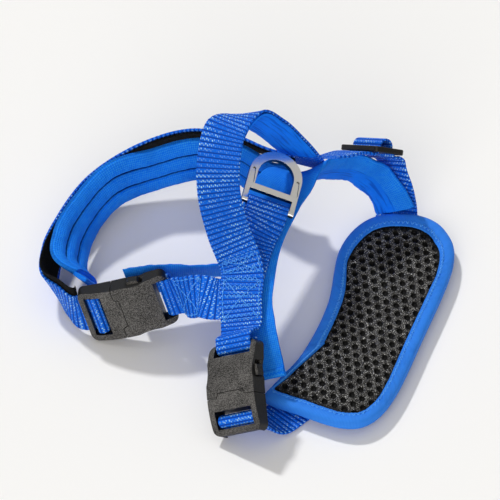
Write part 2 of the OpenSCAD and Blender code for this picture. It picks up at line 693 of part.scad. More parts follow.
// A layer of the pad inside the binding, between two shares of its thickness
module pad_layer(low, high, depth) {
    n = outline_count;
    rows = len(reaches) - 1;
    sheet = function(share) concat([pad_place(pad_middle, 0, share)],
        [for (k = [1:rows], i = [0:n - 1])
            pad_place(pad_middle + reaches[k] * (inset(i, depth) - pad_middle), reaches[k], share)]);
    low_pts = sheet(low);
    m = len(low_pts);
    pts = [for (p = concat(low_pts, sheet(high))) p - stand_at];
    fan = [for (i = [0:n - 1]) [0, 1 + (i + 1) % n, 1 + i]];
    quads = [for (k = [0:rows - 2], i = [0:n - 1])
        let (a = 1 + k * n + i, b = 1 + k * n + (i + 1) % n) each [[a, b + n, a + n], [a, b, b + n]]];
    edge = 1 + (rows - 1) * n;
    walls = [for (i = [0:n - 1]) let (a = edge + i, b = edge + (i + 1) % n)
        each [[a, b + m, a + m], [a, b, b + m]]];
    low_faces = concat(fan, quads);
    high_faces = [for (f = low_faces) [f[0] + m, f[2] + m, f[1] + m]];
    polyhedron(pts, concat(low_faces, high_faces, walls));
}

layer_gap = ply_gap / chest_t;
backing_share = backing_t / chest_t;
mesh_share = 1 - mesh_t / chest_t;
panel_depth = binding_w + ply_gap;

module chest_backing() {
    color(cloth_blue) pad_layer(0, backing_share, panel_depth);
}
module chest_foam() {
    color(fabric_black) pad_layer(backing_share + layer_gap, mesh_share - layer_gap, panel_depth);
}
module chest_mesh() {
    color(fabric_black) pad_layer(mesh_share, 1, panel_depth);
}

// The binding folds round the pad's edge
binding_over = 0.12;
binding_section = [[0.0, 0.3], [0.12, 0], [0.6, -binding_over], [1, -binding_over],
    [1, 1 + binding_over], [0.6, 1 + binding_over], [0.12, 1], [0, 0.7]];
module chest_binding() {
    color(trim_blue) hoop([for (i = [0:outline_count - 1])
        [for (c = binding_section) pad_place(inset(i, c[0] * binding_w), 1, c[1])]]);
}

// Slider, in its own frame: x along the webbing, z outwards
slider_l = 3 * slider_bar + 2 * slider_slot;
slider_w = slot_w + 2 * slider_side;
slider_edge = 2.5;

module slider_plan() {
    union() {
        for (x = [-1, 1], y = [-1, 1])
            translate([x * (slider_l / 2 - slider_edge), y * (slider_w / 2 - slider_edge)])
                circle(r = slider_edge, $fn = round_fn / 2);
        square([slider_l - 2 * slider_edge, slider_w], center = true);
        square([slider_l, slider_w - 2 * slider_edge], center = true);
    }
}

module neck_slider() {
    slot_x = (slider_bar + slider_slot) / 2;
    color(plastic_black) placed(slider_at) difference() {
        translate([0, 0, -slider_t / 2]) linear_extrude(slider_t) slider_plan();
        for (side = [-1, 1])
            translate([side * slot_x, 0, 0]) cube([slider_slot, slot_w, slider_t * 2], center = true);
    }
}

// Neck webbing: from the saddle's far end through the slider to the top of the chest pad
under_z = -slider_t / 2 - ply_gap - web_t / 2;
over_z = slider_t / 2 + ply_gap + web_t / 2;
hump = over_z + 3.5;
weave_x = (slider_bar + slider_slot) / 2;
slot_end = slider_l / 2 - slider_bar;
weave_half = [[slider_l / 2 + 1, under_z], [slot_end - 0.2, under_z], [weave_x + 0.6, under_z * 0.35],
    [weave_x - 0.2, over_z * 0.5], [weave_x - 0.6, over_z * 1.35], [weave_x - 2.2, hump - 0.6]];
function pad_top(a, b, z) = at(chest_pad_at, [chest_l + a, b, z - pad_z]);
slider_weave = points(slider_at, concat([[-slider_l / 2 - 6, under_z - 0.6]],
    [for (p = weave_half) [-p[0], p[1]]], [[0, hump]],
    [for (i = [len(weave_half) - 1:-1:0]) weave_half[i]],
    [[slider_l / 2 + 4, under_z - 1.5], [slider_l / 2 + 5.5, under_z - 5]]), -1);
neck_web_route = concat(
    smooth(concat([[[44.6, 170.6, 62.2], [0.6, -0.55, 0.58]], [[51.5, 175.5, 59.5], [0.64, -0.57, 0.52]]],
        [slider_weave[0]]), steps),
    tail_of(head_of(slider_weave, len(slider_weave) - 2), 1),
    smooth(concat([slider_weave[len(slider_weave) - 1]], [
        [pad_top(6, 12, 27), [0.8, -0.48, 0.36]],
        [pad_top(4.5, 10.5, 16), [0.9, -0.36, 0.2]],
        [pad_top(3, 9.5, 8), [0.95, -0.3, 0.1]],
        [pad_top(0, 9, 3), [0.96, -0.27, 0]],
        [pad_top(-13, 8.5, chest_low + 0.1), [0.97, -0.25, 0]]]), steps));

module neck_webbing() {
    color(cloth_blue) band(frames(neck_web_route), web_w, -web_t / 2, web_t / 2);
}

saddle_pad();
saddle_hem();
saddle_webbing();
handle_lining();
ring_strap();
leash_ring();
girth_arm_webbing();
girth_arm_flap();
girth_socket();
girth_plug();
girth_latch_upper();
girth_latch_lower();
girth_webbing();
girth_grip_tape();
girth_pad();
girth_pad_hem();
chest_socket();
chest_plug();
chest_latch_left();
chest_latch_right();
chest_webbing();
chest_backing();
chest_foam();
chest_mesh();
chest_binding();
neck_webbing();
neck_slider();
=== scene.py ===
import json
import math

import bmesh
import bpy
import numpy as np
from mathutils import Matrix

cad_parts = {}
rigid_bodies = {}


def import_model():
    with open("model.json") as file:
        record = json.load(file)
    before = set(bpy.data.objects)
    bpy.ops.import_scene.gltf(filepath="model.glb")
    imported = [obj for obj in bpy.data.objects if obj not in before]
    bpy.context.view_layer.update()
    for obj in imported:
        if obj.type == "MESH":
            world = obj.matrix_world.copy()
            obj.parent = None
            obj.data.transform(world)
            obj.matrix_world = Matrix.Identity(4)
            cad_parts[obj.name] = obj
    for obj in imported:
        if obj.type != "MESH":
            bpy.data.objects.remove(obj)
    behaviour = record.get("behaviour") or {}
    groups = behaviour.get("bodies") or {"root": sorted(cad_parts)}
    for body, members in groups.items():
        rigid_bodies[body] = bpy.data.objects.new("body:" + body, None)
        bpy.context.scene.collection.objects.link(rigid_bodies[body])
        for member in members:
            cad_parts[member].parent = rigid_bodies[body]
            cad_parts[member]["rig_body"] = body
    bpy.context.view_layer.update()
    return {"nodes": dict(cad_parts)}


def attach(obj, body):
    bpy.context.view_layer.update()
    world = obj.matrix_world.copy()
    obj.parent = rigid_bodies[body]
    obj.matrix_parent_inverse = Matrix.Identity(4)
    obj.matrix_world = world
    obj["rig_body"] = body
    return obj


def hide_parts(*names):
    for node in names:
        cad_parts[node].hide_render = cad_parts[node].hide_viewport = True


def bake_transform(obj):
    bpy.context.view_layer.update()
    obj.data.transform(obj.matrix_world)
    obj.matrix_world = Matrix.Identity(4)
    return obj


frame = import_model()


# Table, light and camera. The harness lies on a plain white table, seen from 45 degrees
# above: a lamp behind it to the left throws the shadows, a wide soft one in front fills
# them, and the studio is brighter overhead than at its walls.
PICTURE_WIDTH = 0.290
PICTURE_MIDDLE = np.array([0.0016, 0.0013, 0.050])
CAMERA_TILT = math.radians(45)
LENS = 900
SENSOR = 36
FAR_CLIP = 100
TABLE_HALF = 3.0
TABLE_TOP = -0.0004
TABLE_ROUGHNESS = 0.7
TABLE_WHITE = (0.92, 0.92, 0.92, 1)
WALL_WHITE = (0.12, 0.119, 0.117, 1)
CEILING_WHITE = (0.50, 0.496, 0.485, 1)
# Strength, colour, spread, tip from straight down and turn of each lamp, angles in degrees
LAMPS = {"lamp": (1.75, (1, 1, 1), 5, -40, 34),
         "fill": (1.55, (1, 0.95, 0.87), 50, 64, -12)}


def shown(name, data):
    """An object at the origin that holds this data."""
    made = bpy.data.objects.new(name, data)
    bpy.context.scene.collection.objects.link(made)
    return made


def plain_surface(name, colour, roughness):
    """A material of one colour."""
    material = bpy.data.materials.new(name)
    material.use_nodes = True
    shader = material.node_tree.nodes["Principled BSDF"]
    shader.inputs["Base Color"].default_value = colour
    shader.inputs["Roughness"].default_value = roughness
    return material


def join(value, socket):
    """Feeds a socket from another one, or sets it."""
    if isinstance(value, bpy.types.NodeSocket):
        socket.id_data.links.new(value, socket)
    else:
        socket.default_value = value


def mixed(share, first, second):
    """Two colours mixed by a share."""
    made = share.id_data.nodes.new("ShaderNodeMix")
    made.data_type = "RGBA"
    for given, k in ((share, 0), (first, 6), (second, 7)):
        join(given, made.inputs[k])
    return made.outputs[2]


corners = np.array([(-1, -1), (1, -1), (1, 1), (-1, 1)]) * TABLE_HALF
table_mesh = bpy.data.meshes.new("table")
table_mesh.from_pydata([(x, y, TABLE_TOP) for x, y in corners], [], [(0, 1, 2, 3)])
table_mesh.materials.append(plain_surface("table_white", TABLE_WHITE, TABLE_ROUGHNESS))
table = shown("table", table_mesh)

for name, (strength, colour, spread, tip, turn) in LAMPS.items():
    lamp_data = bpy.data.lights.new(name, "SUN")
    lamp_data.energy = strength
    lamp_data.color = colour
    lamp_data.angle = math.radians(spread)
    shown(name, lamp_data).rotation_euler = (math.radians(tip), 0, math.radians(turn))

world = bpy.data.worlds.new("studio")
world.use_nodes = True
studio = world.node_tree
heading = studio.nodes.new("ShaderNodeSeparateXYZ")
join(studio.nodes.new("ShaderNodeTexCoord").outputs["Generated"], heading.inputs[0])
dome = mixed(heading.outputs[2], WALL_WHITE, CEILING_WHITE)
join(dome, studio.nodes["Background"].inputs["Color"])
bpy.context.scene.world = world
bpy.context.scene.view_settings.view_transform = "Standard"

camera_data = bpy.data.cameras.new("camera")
camera_data.lens = LENS
camera_data.sensor_width = SENSOR
camera_data.clip_end = FAR_CLIP
camera = shown("camera", camera_data)
camera_back = np.array([0, -math.sin(CAMERA_TILT), math.cos(CAMERA_TILT)])
camera.location = PICTURE_MIDDLE + camera_back * PICTURE_WIDTH * LENS / SENSOR
camera.rotation_euler = (CAMERA_TILT, 0, 0)
bpy.context.scene.camera = camera


# Saddle pad. A foam strip in a sewn cloth sleeve lies along the back, turns over on its
# edge and runs on as the neck arm: woven cloth outside, smooth lining against the dog.
STAND = np.array([-1.6, 105.5, 0])
MM = 0.001
SADDLE_WIDTH = 31
NECK_WIDTH = 25
SADDLE_THICK = 4.5
PAD_STEP = 1.0
CURVE_CUTS = 16
SHARP_ANGLE = math.radians(55)
SEWN_COLUMNS = 25
SEAM_FULLNESS = 0.35
OUTER_CROWN = 0.3
EDGE_PUCKER = 0.35
FACE_PUCKER = 0.25
LINING_SHARE = 0.25
INNER_MAP = 100
# Dark blue: random fading, and painted shade along creases. Light blue: a painted highlight on yarn
# crests. Seam dark: painted shade in the quilting grooves
CLOTH_DARK = (0.001, 0.100, 0.62, 1)
CLOTH_MID = (0.001, 0.190, 1.0, 1)
CLOTH_PAINTED_HIGHLIGHT = (0.035, 0.360, 1.0, 1)
SEAM_GROOVE_SHADE = (0.0, 0.020, 0.17, 1)
CLOTH_ROUGHNESS = 0.75
CLOTH_SPECULAR = 0.1
# Scales of noise are per metre, and a span is where an easing starts and ends
FLECK_SCALE = 560
FADE_SCALE = 60
FADE_SHARE = 0.3
NOISE_SPAN = (0.35, 0.75)
CREASE_STRETCH = (0.05, 0.55)
CREASE_SPAN = (0.5, 0.68)
SEAM_SPAN = (0.35, 0.9)
SADDLE_LINE = [
    (6, 36, 20, 0.85, -0.2, 0.45),
    (0, 54, 37, 0.9, -0.1, 0.35),
    (-2.5, 70, 43, 0.97, -0.05, 0.15),
    (-1, 88, 48, 0.97, -0.1, 0),
    (3, 112, 52, 0.95, -0.2, -0.12),
    (12, 138, 54.5, 0.88, -0.4, -0.2),
    (22, 160, 54, 0.72, -0.65, -0.1),
    (36, 172, 52, 0.3, -0.5, 0.8),
    (50, 181, 47, 0.05, -0.33, 0.94),
    (65, 187.3, 37.3, 0, -0.2, 0.97),
    (73.8, 188, 28.6, 0.2, 0.05, 0.97),
    (81.2, 184.5, 20.2, 0.25, 0.05, 0.95),
    (85.5, 181, 10.5, 0.5, 0, 0.6)]


def unit(v):
    """Vectors at length one."""
    return v / np.linalg.norm(v, axis=-1, keepdims=True)


def run_along(points):
    """The length run at each of a row of points."""
    return np.r_[0, np.cumsum(np.linalg.norm(np.diff(points, axis=0), axis=1))]


def carried(stations, step):
    """A smooth line through stations, each a point and the direction across. Between two
    stations it is a cubic whose end slopes are those of the parabola through each three
    stations, and it is cut into even steps along its length."""
    s = np.asarray(stations, float)
    chord = np.linalg.norm(np.diff(s[:, :3], axis=0), axis=1)[:, None]
    slope = np.diff(s, axis=0) / chord
    lean = np.empty_like(s)
    lean[1:-1] = (chord[1:] * slope[:-1] + chord[:-1] * slope[1:]) / (chord[1:] + chord[:-1])
    lean[0] = 1.5 * slope[0] - 0.5 * lean[1]
    lean[-1] = 1.5 * slope[-1] - 0.5 * lean[-2]
    t = np.linspace(0, 1, CURVE_CUTS, endpoint=False)[None, :, None]
    a, b = s[:-1, None], s[1:, None]
    da, db = (lean[:-1] * chord)[:, None], (lean[1:] * chord)[:, None]
    fine = (2 * t**3 - 3 * t**2 + 1) * a + (t**3 - 2 * t**2 + t) * da
    fine = fine + (3 * t**2 - 2 * t**3) * b + (t**3 - t**2) * db
    fine = np.vstack([fine.reshape(-1, s.shape[1]), s[-1:]])
    length = run_along(fine[:, :3])
    even = np.linspace(0, length[-1], int(round(length[-1] / step)) + 1)
    return np.column_stack([np.interp(even, length, column) for column in fine.T])


def nearest(stations, spot):
    """The number of the station nearest to a spot."""
    return int(np.argmin(np.linalg.norm(stations[:, :3] - np.asarray(spot, float)[:3], axis=1)))


def frames(stations):
    """Point, direction across, outward direction and heading at each station, and the
    length run so far."""
    s = np.asarray(stations, float)
    p = s[:, :3]
    t = np.empty_like(p)
    t[1:-1] = p[2:] - p[:-2]
    t[0] = p[1] - p[0]
    t[-1] = p[-1] - p[-2]
    t = unit(t)
    w = unit(s[:, 3:6] - (s[:, 3:6] * t).sum(1, keepdims=True) * t)
    return p, w, np.cross(w, t), t, run_along(p)


def in_metres(points):
    """Points of the routes, in millimetres, as places over the table in metres."""
    return (points - STAND) * MM


def skin(name, points, uv, materials, closed_along=False, shades=0):
    """A closed mesh over a grid of points: each row is a section that closes on itself, and
    the rows close on each other or end in caps. The map holds millimetres along and across,
    and shades gives each column's material."""
    rows, columns = points.shape[:2]
    last = rows if closed_along else rows - 1
    i, j = np.meshgrid(np.arange(last), np.arange(columns), indexing="ij")
    di, dj = (i + 1) % rows, (j + 1) % columns
    quads = np.stack([i * columns + j, i * columns + dj, di * columns + dj, di * columns + j], -1)
    faces = quads.reshape(-1, 4).tolist()
    if uv.shape[1] == columns:
        uv = np.concatenate([uv, uv[:, :1]], 1)
    maps = np.stack([uv[i, j], uv[i, j + 1], uv[i + 1, j + 1], uv[i + 1, j]], -2).reshape(-1, 2)
    marks = np.broadcast_to(shades, quads.shape[:2]).ravel()
    if not closed_along:
        end = (rows - 1) * columns
        faces += [list(range(columns))[::-1], list(range(end, end + columns))]
        maps = np.vstack([maps, uv[0, :columns][::-1], uv[-1, :columns]])
        marks = np.r_[marks, 0, 0]
    mesh = bpy.data.meshes.new(name)
    mesh.from_pydata(in_metres(points.reshape(-1, 3)), [], faces)
    for material in materials:
        mesh.materials.append(material)
    mesh.uv_layers.new(name="weave").data.foreach_set("uv", maps.ravel())
    mesh.polygons.foreach_set("use_smooth", np.ones(len(faces), bool))
    mesh.polygons.foreach_set("material_index", marks.astype(np.int32))
    work = bmesh.new()
    work.from_mesh(mesh)
    if work.calc_volume(signed=True) < 0:
        bmesh.ops.reverse_faces(work, faces=work.faces)
    work.to_mesh(mesh)
    work.free()
    mesh.set_sharp_from_angle(angle=SHARP_ANGLE)
    return shown(name, mesh)


def swept(name, line, side, up, materials, across=None, shades=0):
    """A skin over sections carried along a line of frames, each point so far to the side of its
    station and so far up from it. The map holds the length run, and across or else the side."""
    p, w, n, t, run = line
    points = p[:, None] + side[..., None] * w[:, None] + up[..., None] * n[:, None]
    uv = np.stack(np.broadcast_arrays(run[:, None], side if across is None else across), -1)
    return skin(name, points, uv, materials, shades=shades)


def pad_section(half, rise, sink, columns):
    """A flat oval section: across from -half to half on the upper face, and back on the lower
    face. rise and sink give the height of each face for shares of the half width."""
    share = np.sin(np.linspace(-math.pi / 2, math.pi / 2, columns))
    across = np.concatenate([share, share[-2:0:-1]])
    high = np.concatenate([rise(share), sink(share[-2:0:-1])])
    return across * half, high, across


def calc(operation, *values):
    """One Math node, beside the first socket among its values."""
    tree = next(value.id_data for value in values if isinstance(value, bpy.types.NodeSocket))
    made = tree.nodes.new("ShaderNodeMath")
    made.operation = operation
    for value, socket in zip(values, made.inputs):
        join(value, socket)
    return made.outputs[0]


def times(first, second):
    """The product of two values."""
    return calc("MULTIPLY", first, second)


def eased(value, low, high):
    """0 at low and 1 at high, eased between."""
    made = value.id_data.nodes.new("ShaderNodeMapRange")
    made.interpolation_type = "SMOOTHSTEP"
    for given, socket in zip((value, low, high), made.inputs):
        join(given, socket)
    return made.outputs[0]


def speckle(place, scale, detail=2.0):
    """Noise from 0 to 1 at a place."""
    made = place.id_data.nodes.new("ShaderNodeTexNoise")
    for given, name in ((place, "Vector"), (scale, "Scale"), (detail, "Detail")):
        join(given, made.inputs[name])
    return made.outputs[0]


def object_place(material):
    """The piece's own coordinates, in metres."""
    return material.node_tree.nodes.new("ShaderNodeTexCoord").outputs["Object"]


def map_place(material):
    """Millimetres along and across the piece, from its own map."""
    source = material.node_tree.nodes.new("ShaderNodeUVMap")
    source.uv_map = "weave"
    parts = material.node_tree.nodes.new("ShaderNodeSeparateXYZ")
    join(source.outputs[0], parts.inputs[0])
    return parts.outputs[0], parts.outputs[1]


def painted(material, height, relief, **given):
    """The material with a bump of this height, in metres, and its shader's sockets as given."""
    tree = material.node_tree
    bump = tree.nodes.new("ShaderNodeBump")
    join(relief, bump.inputs["Distance"])
    join(height, bump.inputs["Height"])
    for name, value in dict(given, Normal=bump.outputs[0]).items():
        join(value, tree.nodes["Principled BSDF"].inputs[name.replace("_", " ")])
    return material


def effect(name, inputs, outputs):
    """A shader node group with number sockets: the group, its inputs and its outputs."""
    tree = bpy.data.node_groups.new(name, "ShaderNodeTree")
    for way, sockets in (("INPUT", inputs), ("OUTPUT", outputs)):
        for socket in sockets:
            tree.interface.new_socket(socket, in_out=way, socket_type="NodeSocketFloat")
    return (tree, tree.nodes.new("NodeGroupInput").outputs,
            tree.nodes.new("NodeGroupOutput").inputs)


def placed_effect(material, made, **values):
    """A group placed in a material, with its own values."""
    use = material.node_tree.nodes.new("ShaderNodeGroup")
    use.node_tree = made
    for name, value in values.items():
        join(value, use.inputs[name])
    return use.outputs


def plain_weave_effect():
    """Plain weave: yarns pass over and under each other in turn, each yarn an arch."""
    tree, given, put = effect("plain weave", ["Along", "Across", "Pitch"], ["Height"])
    warp, weft = (calc("SINE", times(calc("DIVIDE", given[way], given["Pitch"]), math.pi))
                  for way in ("Across", "Along"))
    over = eased(times(warp, weft), -0.25, 0.25)
    upper = times(calc("ABSOLUTE", warp), over)
    lower = times(calc("ABSOLUTE", weft), calc("SUBTRACT", 1.0, over))
    join(calc("MAXIMUM", upper, lower), put["Height"])
    return tree


plain_weave = plain_weave_effect()


def woven_cloth(name, pitch, relief, highlight_share, crease_shade=0.0, seam=None):
    """Dyed cloth in plain weave with uneven yarns: a mix of the blues by noise, with a painted
    highlight on the yarn crests, painted shade along long creases, and painted shade in dark lines
    at a seam's distance from the middle of its inner face, where the quilting grooves lie."""
    material = plain_surface(name, CLOTH_MID, CLOTH_ROUGHNESS)
    along, across = map_place(material)
    here = object_place(material)
    weave = placed_effect(material, plain_weave, Along=along, Across=across, Pitch=pitch)
    fleck = calc("MULTIPLY_ADD", speckle(here, FLECK_SCALE), 0.9, 0.3)
    # Painted highlight: the yarn crests, flecked by noise, are mixed towards the light blue
    lit = eased(times(weave["Height"], fleck), *NOISE_SPAN)
    colour = mixed(times(lit, highlight_share), CLOTH_MID, CLOTH_PAINTED_HIGHLIGHT)
    fade = eased(speckle(here, FADE_SCALE), *NOISE_SPAN)
    colour = mixed(times(fade, FADE_SHARE), colour, CLOTH_DARK)
    # Painted shade along creases: dark lines from noise stretched along the piece
    if crease_shade:
        stretched = material.node_tree.nodes.new("ShaderNodeCombineXYZ")
        for way, stretch, socket in zip((along, across), CREASE_STRETCH, stretched.inputs):
            join(times(way, stretch), socket)
        fold = eased(speckle(stretched.outputs[0], 1.0), *CREASE_SPAN)
        colour = mixed(times(fold, crease_shade), colour, CLOTH_DARK)
    # Painted shade in the quilting grooves: a dark line at the seam's distance on the inner face
    if seam:
        inner = calc("ABSOLUTE", calc("SUBTRACT", across, INNER_MAP))
        line = eased(calc("ABSOLUTE", calc("SUBTRACT", inner, seam)), *SEAM_SPAN)
        colour = mixed(line, SEAM_GROOVE_SHADE, colour)
    return painted(material, weave["Height"], relief, Base_Color=colour,
                   Specular_IOR_Level=CLOTH_SPECULAR)


pad_cloth = woven_cloth("pad_cloth", pitch=1.1, relief=0.00025, highlight_share=0.9)
lining_cloth = woven_cloth("lining_cloth", pitch=0.8, relief=0.00012, highlight_share=0.3, crease_shade=0.9)


def swell(share):
    """The fullness of a sewn pad across its width: full in the middle, drawn in at its seams."""
    return SEAM_FULLNESS + (1 - SEAM_FULLNESS) * np.sqrt(np.maximum(0, 1 - np.abs(share) ** 3))


def ripple(run, share, size):
    """Slow puckers of stuffed cloth, from three waves that don't repeat together."""
    return size * (0.5 * np.sin(run * 0.31 + 2 * share) + 0.3 * np.sin(run * 0.73 - 3 * share)
                   + 0.2 * np.sin(run * 1.27 + 5 * share))


def sewn_pad(name, stations, widths, thick, lining_to):
    """A pad whose outer face lies along the stations and whose inner face swells: the height
    of a point is the swell at its share of the width, with puckers at the seams. The lining
    covers the inner face up to a share of its width."""
    line = frames(stations)
    run = line[4][:, None]
    across, high, share = pad_section(
        1, lambda s: OUTER_CROWN * (swell(s) - 1), lambda s: -swell(s), SEWN_COLUMNS)
    inner = np.arange(len(share)) >= SEWN_COLUMNS
    pucker = np.abs(share) ** 4 * ripple(run * 1.6, share, EDGE_PUCKER)
    swollen = pucker + ripple(run, share, FACE_PUCKER)
    height = thick * high + np.where(inner, swollen, -np.abs(pucker))
    side = across * widths[:, None] / 2
    return swept(name, line, side, height, [pad_cloth, lining_cloth],
                 side + np.where(inner, INNER_MAP, 0),
                 shades=(inner & (share < lining_to)).astype(int))


saddle_stations = carried(SADDLE_LINE, PAD_STEP)
neck_span = [nearest(saddle_stations, SADDLE_LINE[k]) for k in (7, 9)]
saddle_widths = np.interp(np.arange(len(saddle_stations)), neck_span, (SADDLE_WIDTH, NECK_WIDTH))
saddle_sleeve = sewn_pad("saddle_sleeve", saddle_stations, saddle_widths,
                         SADDLE_THICK, LINING_SHARE)
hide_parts("saddle_pad")
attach(saddle_sleeve, "harness")


# Saddle hem. The woven cloth of the sleeve is folded over the strip's near end, and sewn down
# flat across it.
HEM_LENGTH = 4.5
HEM_LAP = 0.8
HEM_CLOTH = 0.9
HEM_ROWS = 61
HEM_COLUMNS = 40
HEM_MAP_STEP = 0.3


def signed_power(value, power):
    """A value raised to a power, with its sign kept."""
    return np.sign(value) * np.abs(value) ** power


def folded_hem(name, stations, width, thick, length):
    """A folded strip over a pad's first station: a flat oval section carried along the width,
    a little fuller at its fold than at the stitch line."""
    p, w, n, t, run = frames(stations)
    u = np.linspace(-1, 1, HEM_ROWS)[:, None]
    turn = np.linspace(0, 2 * math.pi, HEM_COLUMNS, endpoint=False)
    reach = signed_power(np.cos(turn), 0.5)
    high = signed_power(np.sin(turn), 0.6)
    draw = 1 - 0.25 * np.abs(u) ** 6
    groove = 1 - 0.22 * np.exp(-((reach - 0.35) / 0.12) ** 2)
    along = HEM_LAP - (HEM_LAP + length) * (1 - reach) / 2
    up = (HEM_CLOTH - thick) / 2 + (HEM_CLOTH + thick) / 2 * high * groove
    up = up * draw + ripple(u * 20, reach, 0.12)
    side = u * width / 2
    points = p[0] + side[..., None] * w[0] + along[:, None] * t[0] + up[..., None] * n[0]
    around = HEM_MAP_STEP * np.arange(1, HEM_COLUMNS + 1)
    return skin(name, points, np.stack(np.broadcast_arrays(side, around), -1), [pad_cloth])


saddle_fold = folded_hem("saddle_fold", saddle_stations, SADDLE_WIDTH,
                         SADDLE_THICK * 0.5, HEM_LENGTH)
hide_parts("saddle_hem")
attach(saddle_fold, "harness")


# Ring strap. A short length of ribbed nylon webbing is folded round the ring's bar, and both
# layers are sewn to the saddle under the main strap.
WEB_WIDTH = 25
WEB_THICK = 1.6
PLY_GAP = 0.3
RIB_PITCH = 2.8
RIB_RELIEF = 0.2
YARN_PITCH = 1.15
# In ribs, where the yarns start, how much further every other one does and how much they slant,
# and how fast a yarn narrows along and across
YARN_START = 0.4
YARN_SHIFT = 0.2
YARN_SLANT = 0.2
YARN_SHAPE = (3.6, 2.4)
RIB_FADE = 1.2
SELVAGE_BEAD = 0.1
FACE_COLUMNS = 25
WEB_STEP = 0.47
FIRST_PLY = PLY_GAP + WEB_THICK / 2
SECOND_PLY = FIRST_PLY + WEB_THICK + PLY_GAP
THIRD_PLY = SECOND_PLY + WEB_THICK + PLY_GAP
BAR_RADIUS = 2
BAR_WRAP = BAR_RADIUS + PLY_GAP + WEB_THICK / 2
WRAP_STEPS = 8
# Darker blue: painted shade between the ribs. Pale blue: a painted highlight on the yarns
WEB_RIB_GAP_SHADE = (0.000, 0.045, 0.36, 1)
WEB_MID = (0.001, 0.145, 0.82, 1)
WEB_YARN_HIGHLIGHT = (0.52, 0.90, 1.0, 1)
WEB_ROUGHNESS = 0.6
WEB_SPECULAR = 0.12
WEB_RELIEF = 0.0005
WEB_FLECK_SCALE = 500
WEB_PATCH_SCALE = 70


def place(origin, along, face):
    """A fitting's own frame: its origin, and its x, y and z directions."""
    x = unit(np.array(along, float))
    z = np.array(face, float)
    z = unit(z - (z @ x) * x)
    return np.array(origin, float), x, np.cross(z, x), z


def points_in(fitting, spots, across):
    """Stations at spots in the x and z of a fitting, across its own y."""
    o, x, y, z = fitting
    spots = np.asarray(spots, float)
    p = o + spots[:, :1] * x + spots[:, 1:] * z
    return np.hstack([p, np.broadcast_to(across * y, p.shape)])


def wrap(fitting, x, z, start, end, across):
    """Stations round a bar at x and z of a fitting, from one angle to another, in degrees."""
    a = np.radians(np.linspace(start, end, WRAP_STEPS + 1))
    around = np.column_stack([x + BAR_WRAP * np.cos(a), z + BAR_WRAP * np.sin(a)])
    return points_in(fitting, around, across)


def lifted(i, lift, side):
    """A station over station i of the saddle's line, lifted off it and moved sideways."""
    p, w, n, t, run = frames(SADDLE_LINE)
    return np.r_[p[i] + lift * n[i] + side * w[i], w[i]][None]


def ribbed_weave_effect():
    """Ribbed weave: rows of short slanted yarns across the strap, every other yarn a little
    further on, so that a row of their backs makes a zigzag, painted bright as a highlight."""
    tree, given, put = effect("ribbed weave", ["Along", "Across"], ["Height", "Row", "Yarn"])
    yarns = calc("DIVIDE", given["Across"], YARN_PITCH)
    side = calc("SUBTRACT", calc("FRACT", yarns), 0.5)
    odd = calc("FLOORED_MODULO", calc("FLOOR", yarns), 2.0)
    rows = calc("DIVIDE", given["Along"], RIB_PITCH)
    row = calc("MULTIPLY_ADD", calc("COSINE", times(rows, 2 * math.pi)), 0.5, 0.5)
    shifted = calc("ADD", calc("ADD", rows, YARN_START), times(odd, YARN_SHIFT))
    slanted = calc("ADD", shifted, times(side, YARN_SLANT))
    end = calc("SUBTRACT", calc("FRACT", slanted), 0.5)
    spread = [calc("POWER", times(calc("ABSOLUTE", way), size), 2.0)
              for way, size in zip((end, side), YARN_SHAPE)]
    lit = calc("SUBTRACT", 1.0, eased(calc("ADD", *spread), 0.15, 0.8))
    height = calc("MULTIPLY_ADD", lit, 0.5, times(row, 0.5))
    for name, value in (("Height", height), ("Row", row), ("Yarn", lit)):
        join(value, put[name])
    return tree


def webbing_finish():
    """Dyed nylon webbing: painted shade between the ribs, mid blue on them, and a painted
    highlight where yarns catch light."""
    material = plain_surface("webbing", WEB_MID, WEB_ROUGHNESS)
    along, across = map_place(material)
    here = object_place(material)
    weave = placed_effect(material, ribbed_weave_effect(), Along=along, Across=across)
    # Painted shade: the gaps between the ribs are mixed towards the darker blue
    body = mixed(eased(weave["Row"], 0.0, 0.4), WEB_RIB_GAP_SHADE, WEB_MID)
    patch = calc("MULTIPLY_ADD", eased(speckle(here, WEB_PATCH_SCALE), 0.38, 0.62), 0.75, 0.25)
    # Painted highlight: the backs of the yarns, flecked and patched by noise, go towards the pale
    # blue
    yarn = times(weave["Yarn"], eased(speckle(here, WEB_FLECK_SCALE), 0.38, 0.6))
    return painted(material, weave["Height"], WEB_RELIEF, Specular_IOR_Level=WEB_SPECULAR,
                   Base_Color=mixed(times(yarn, patch), body, WEB_YARN_HIGHLIGHT))


webbing = webbing_finish()


def strap(name, stations, node):
    """A length of webbing along stations, which stands for a node: flat faces with half-round
    selvages, and ribs across both faces, each a cosine along the length that fades out at the
    selvage."""
    line = frames(stations)
    run = line[4][:, None]
    radius = WEB_THICK / 2
    flat = WEB_WIDTH / 2 - radius
    turn = np.radians([-90, -60, -30])
    side = np.r_[-flat + radius * np.sin(turn), np.linspace(-flat, flat, FACE_COLUMNS),
                 flat - radius * np.sin(turn[::-1])]
    high = radius * np.r_[np.cos(turn), np.ones(FACE_COLUMNS), np.cos(turn[::-1])]
    side = np.r_[side, side[-2:0:-1]]
    high = np.r_[high, -high[-2:0:-1]]
    fade = np.clip((flat - np.abs(side)) / RIB_FADE, 0, 1)
    rib = (np.cos(2 * math.pi * run / RIB_PITCH) - 1) / 2
    bead = SELVAGE_BEAD * np.cos(4 * math.pi * run / RIB_PITCH) * (np.abs(side) > flat)
    up = high * (1 + RIB_RELIEF / radius * rib * fade)
    made = swept(name, line, side + bead * np.sign(side), up, [webbing], side)
    if node:
        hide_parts(node)
    return made


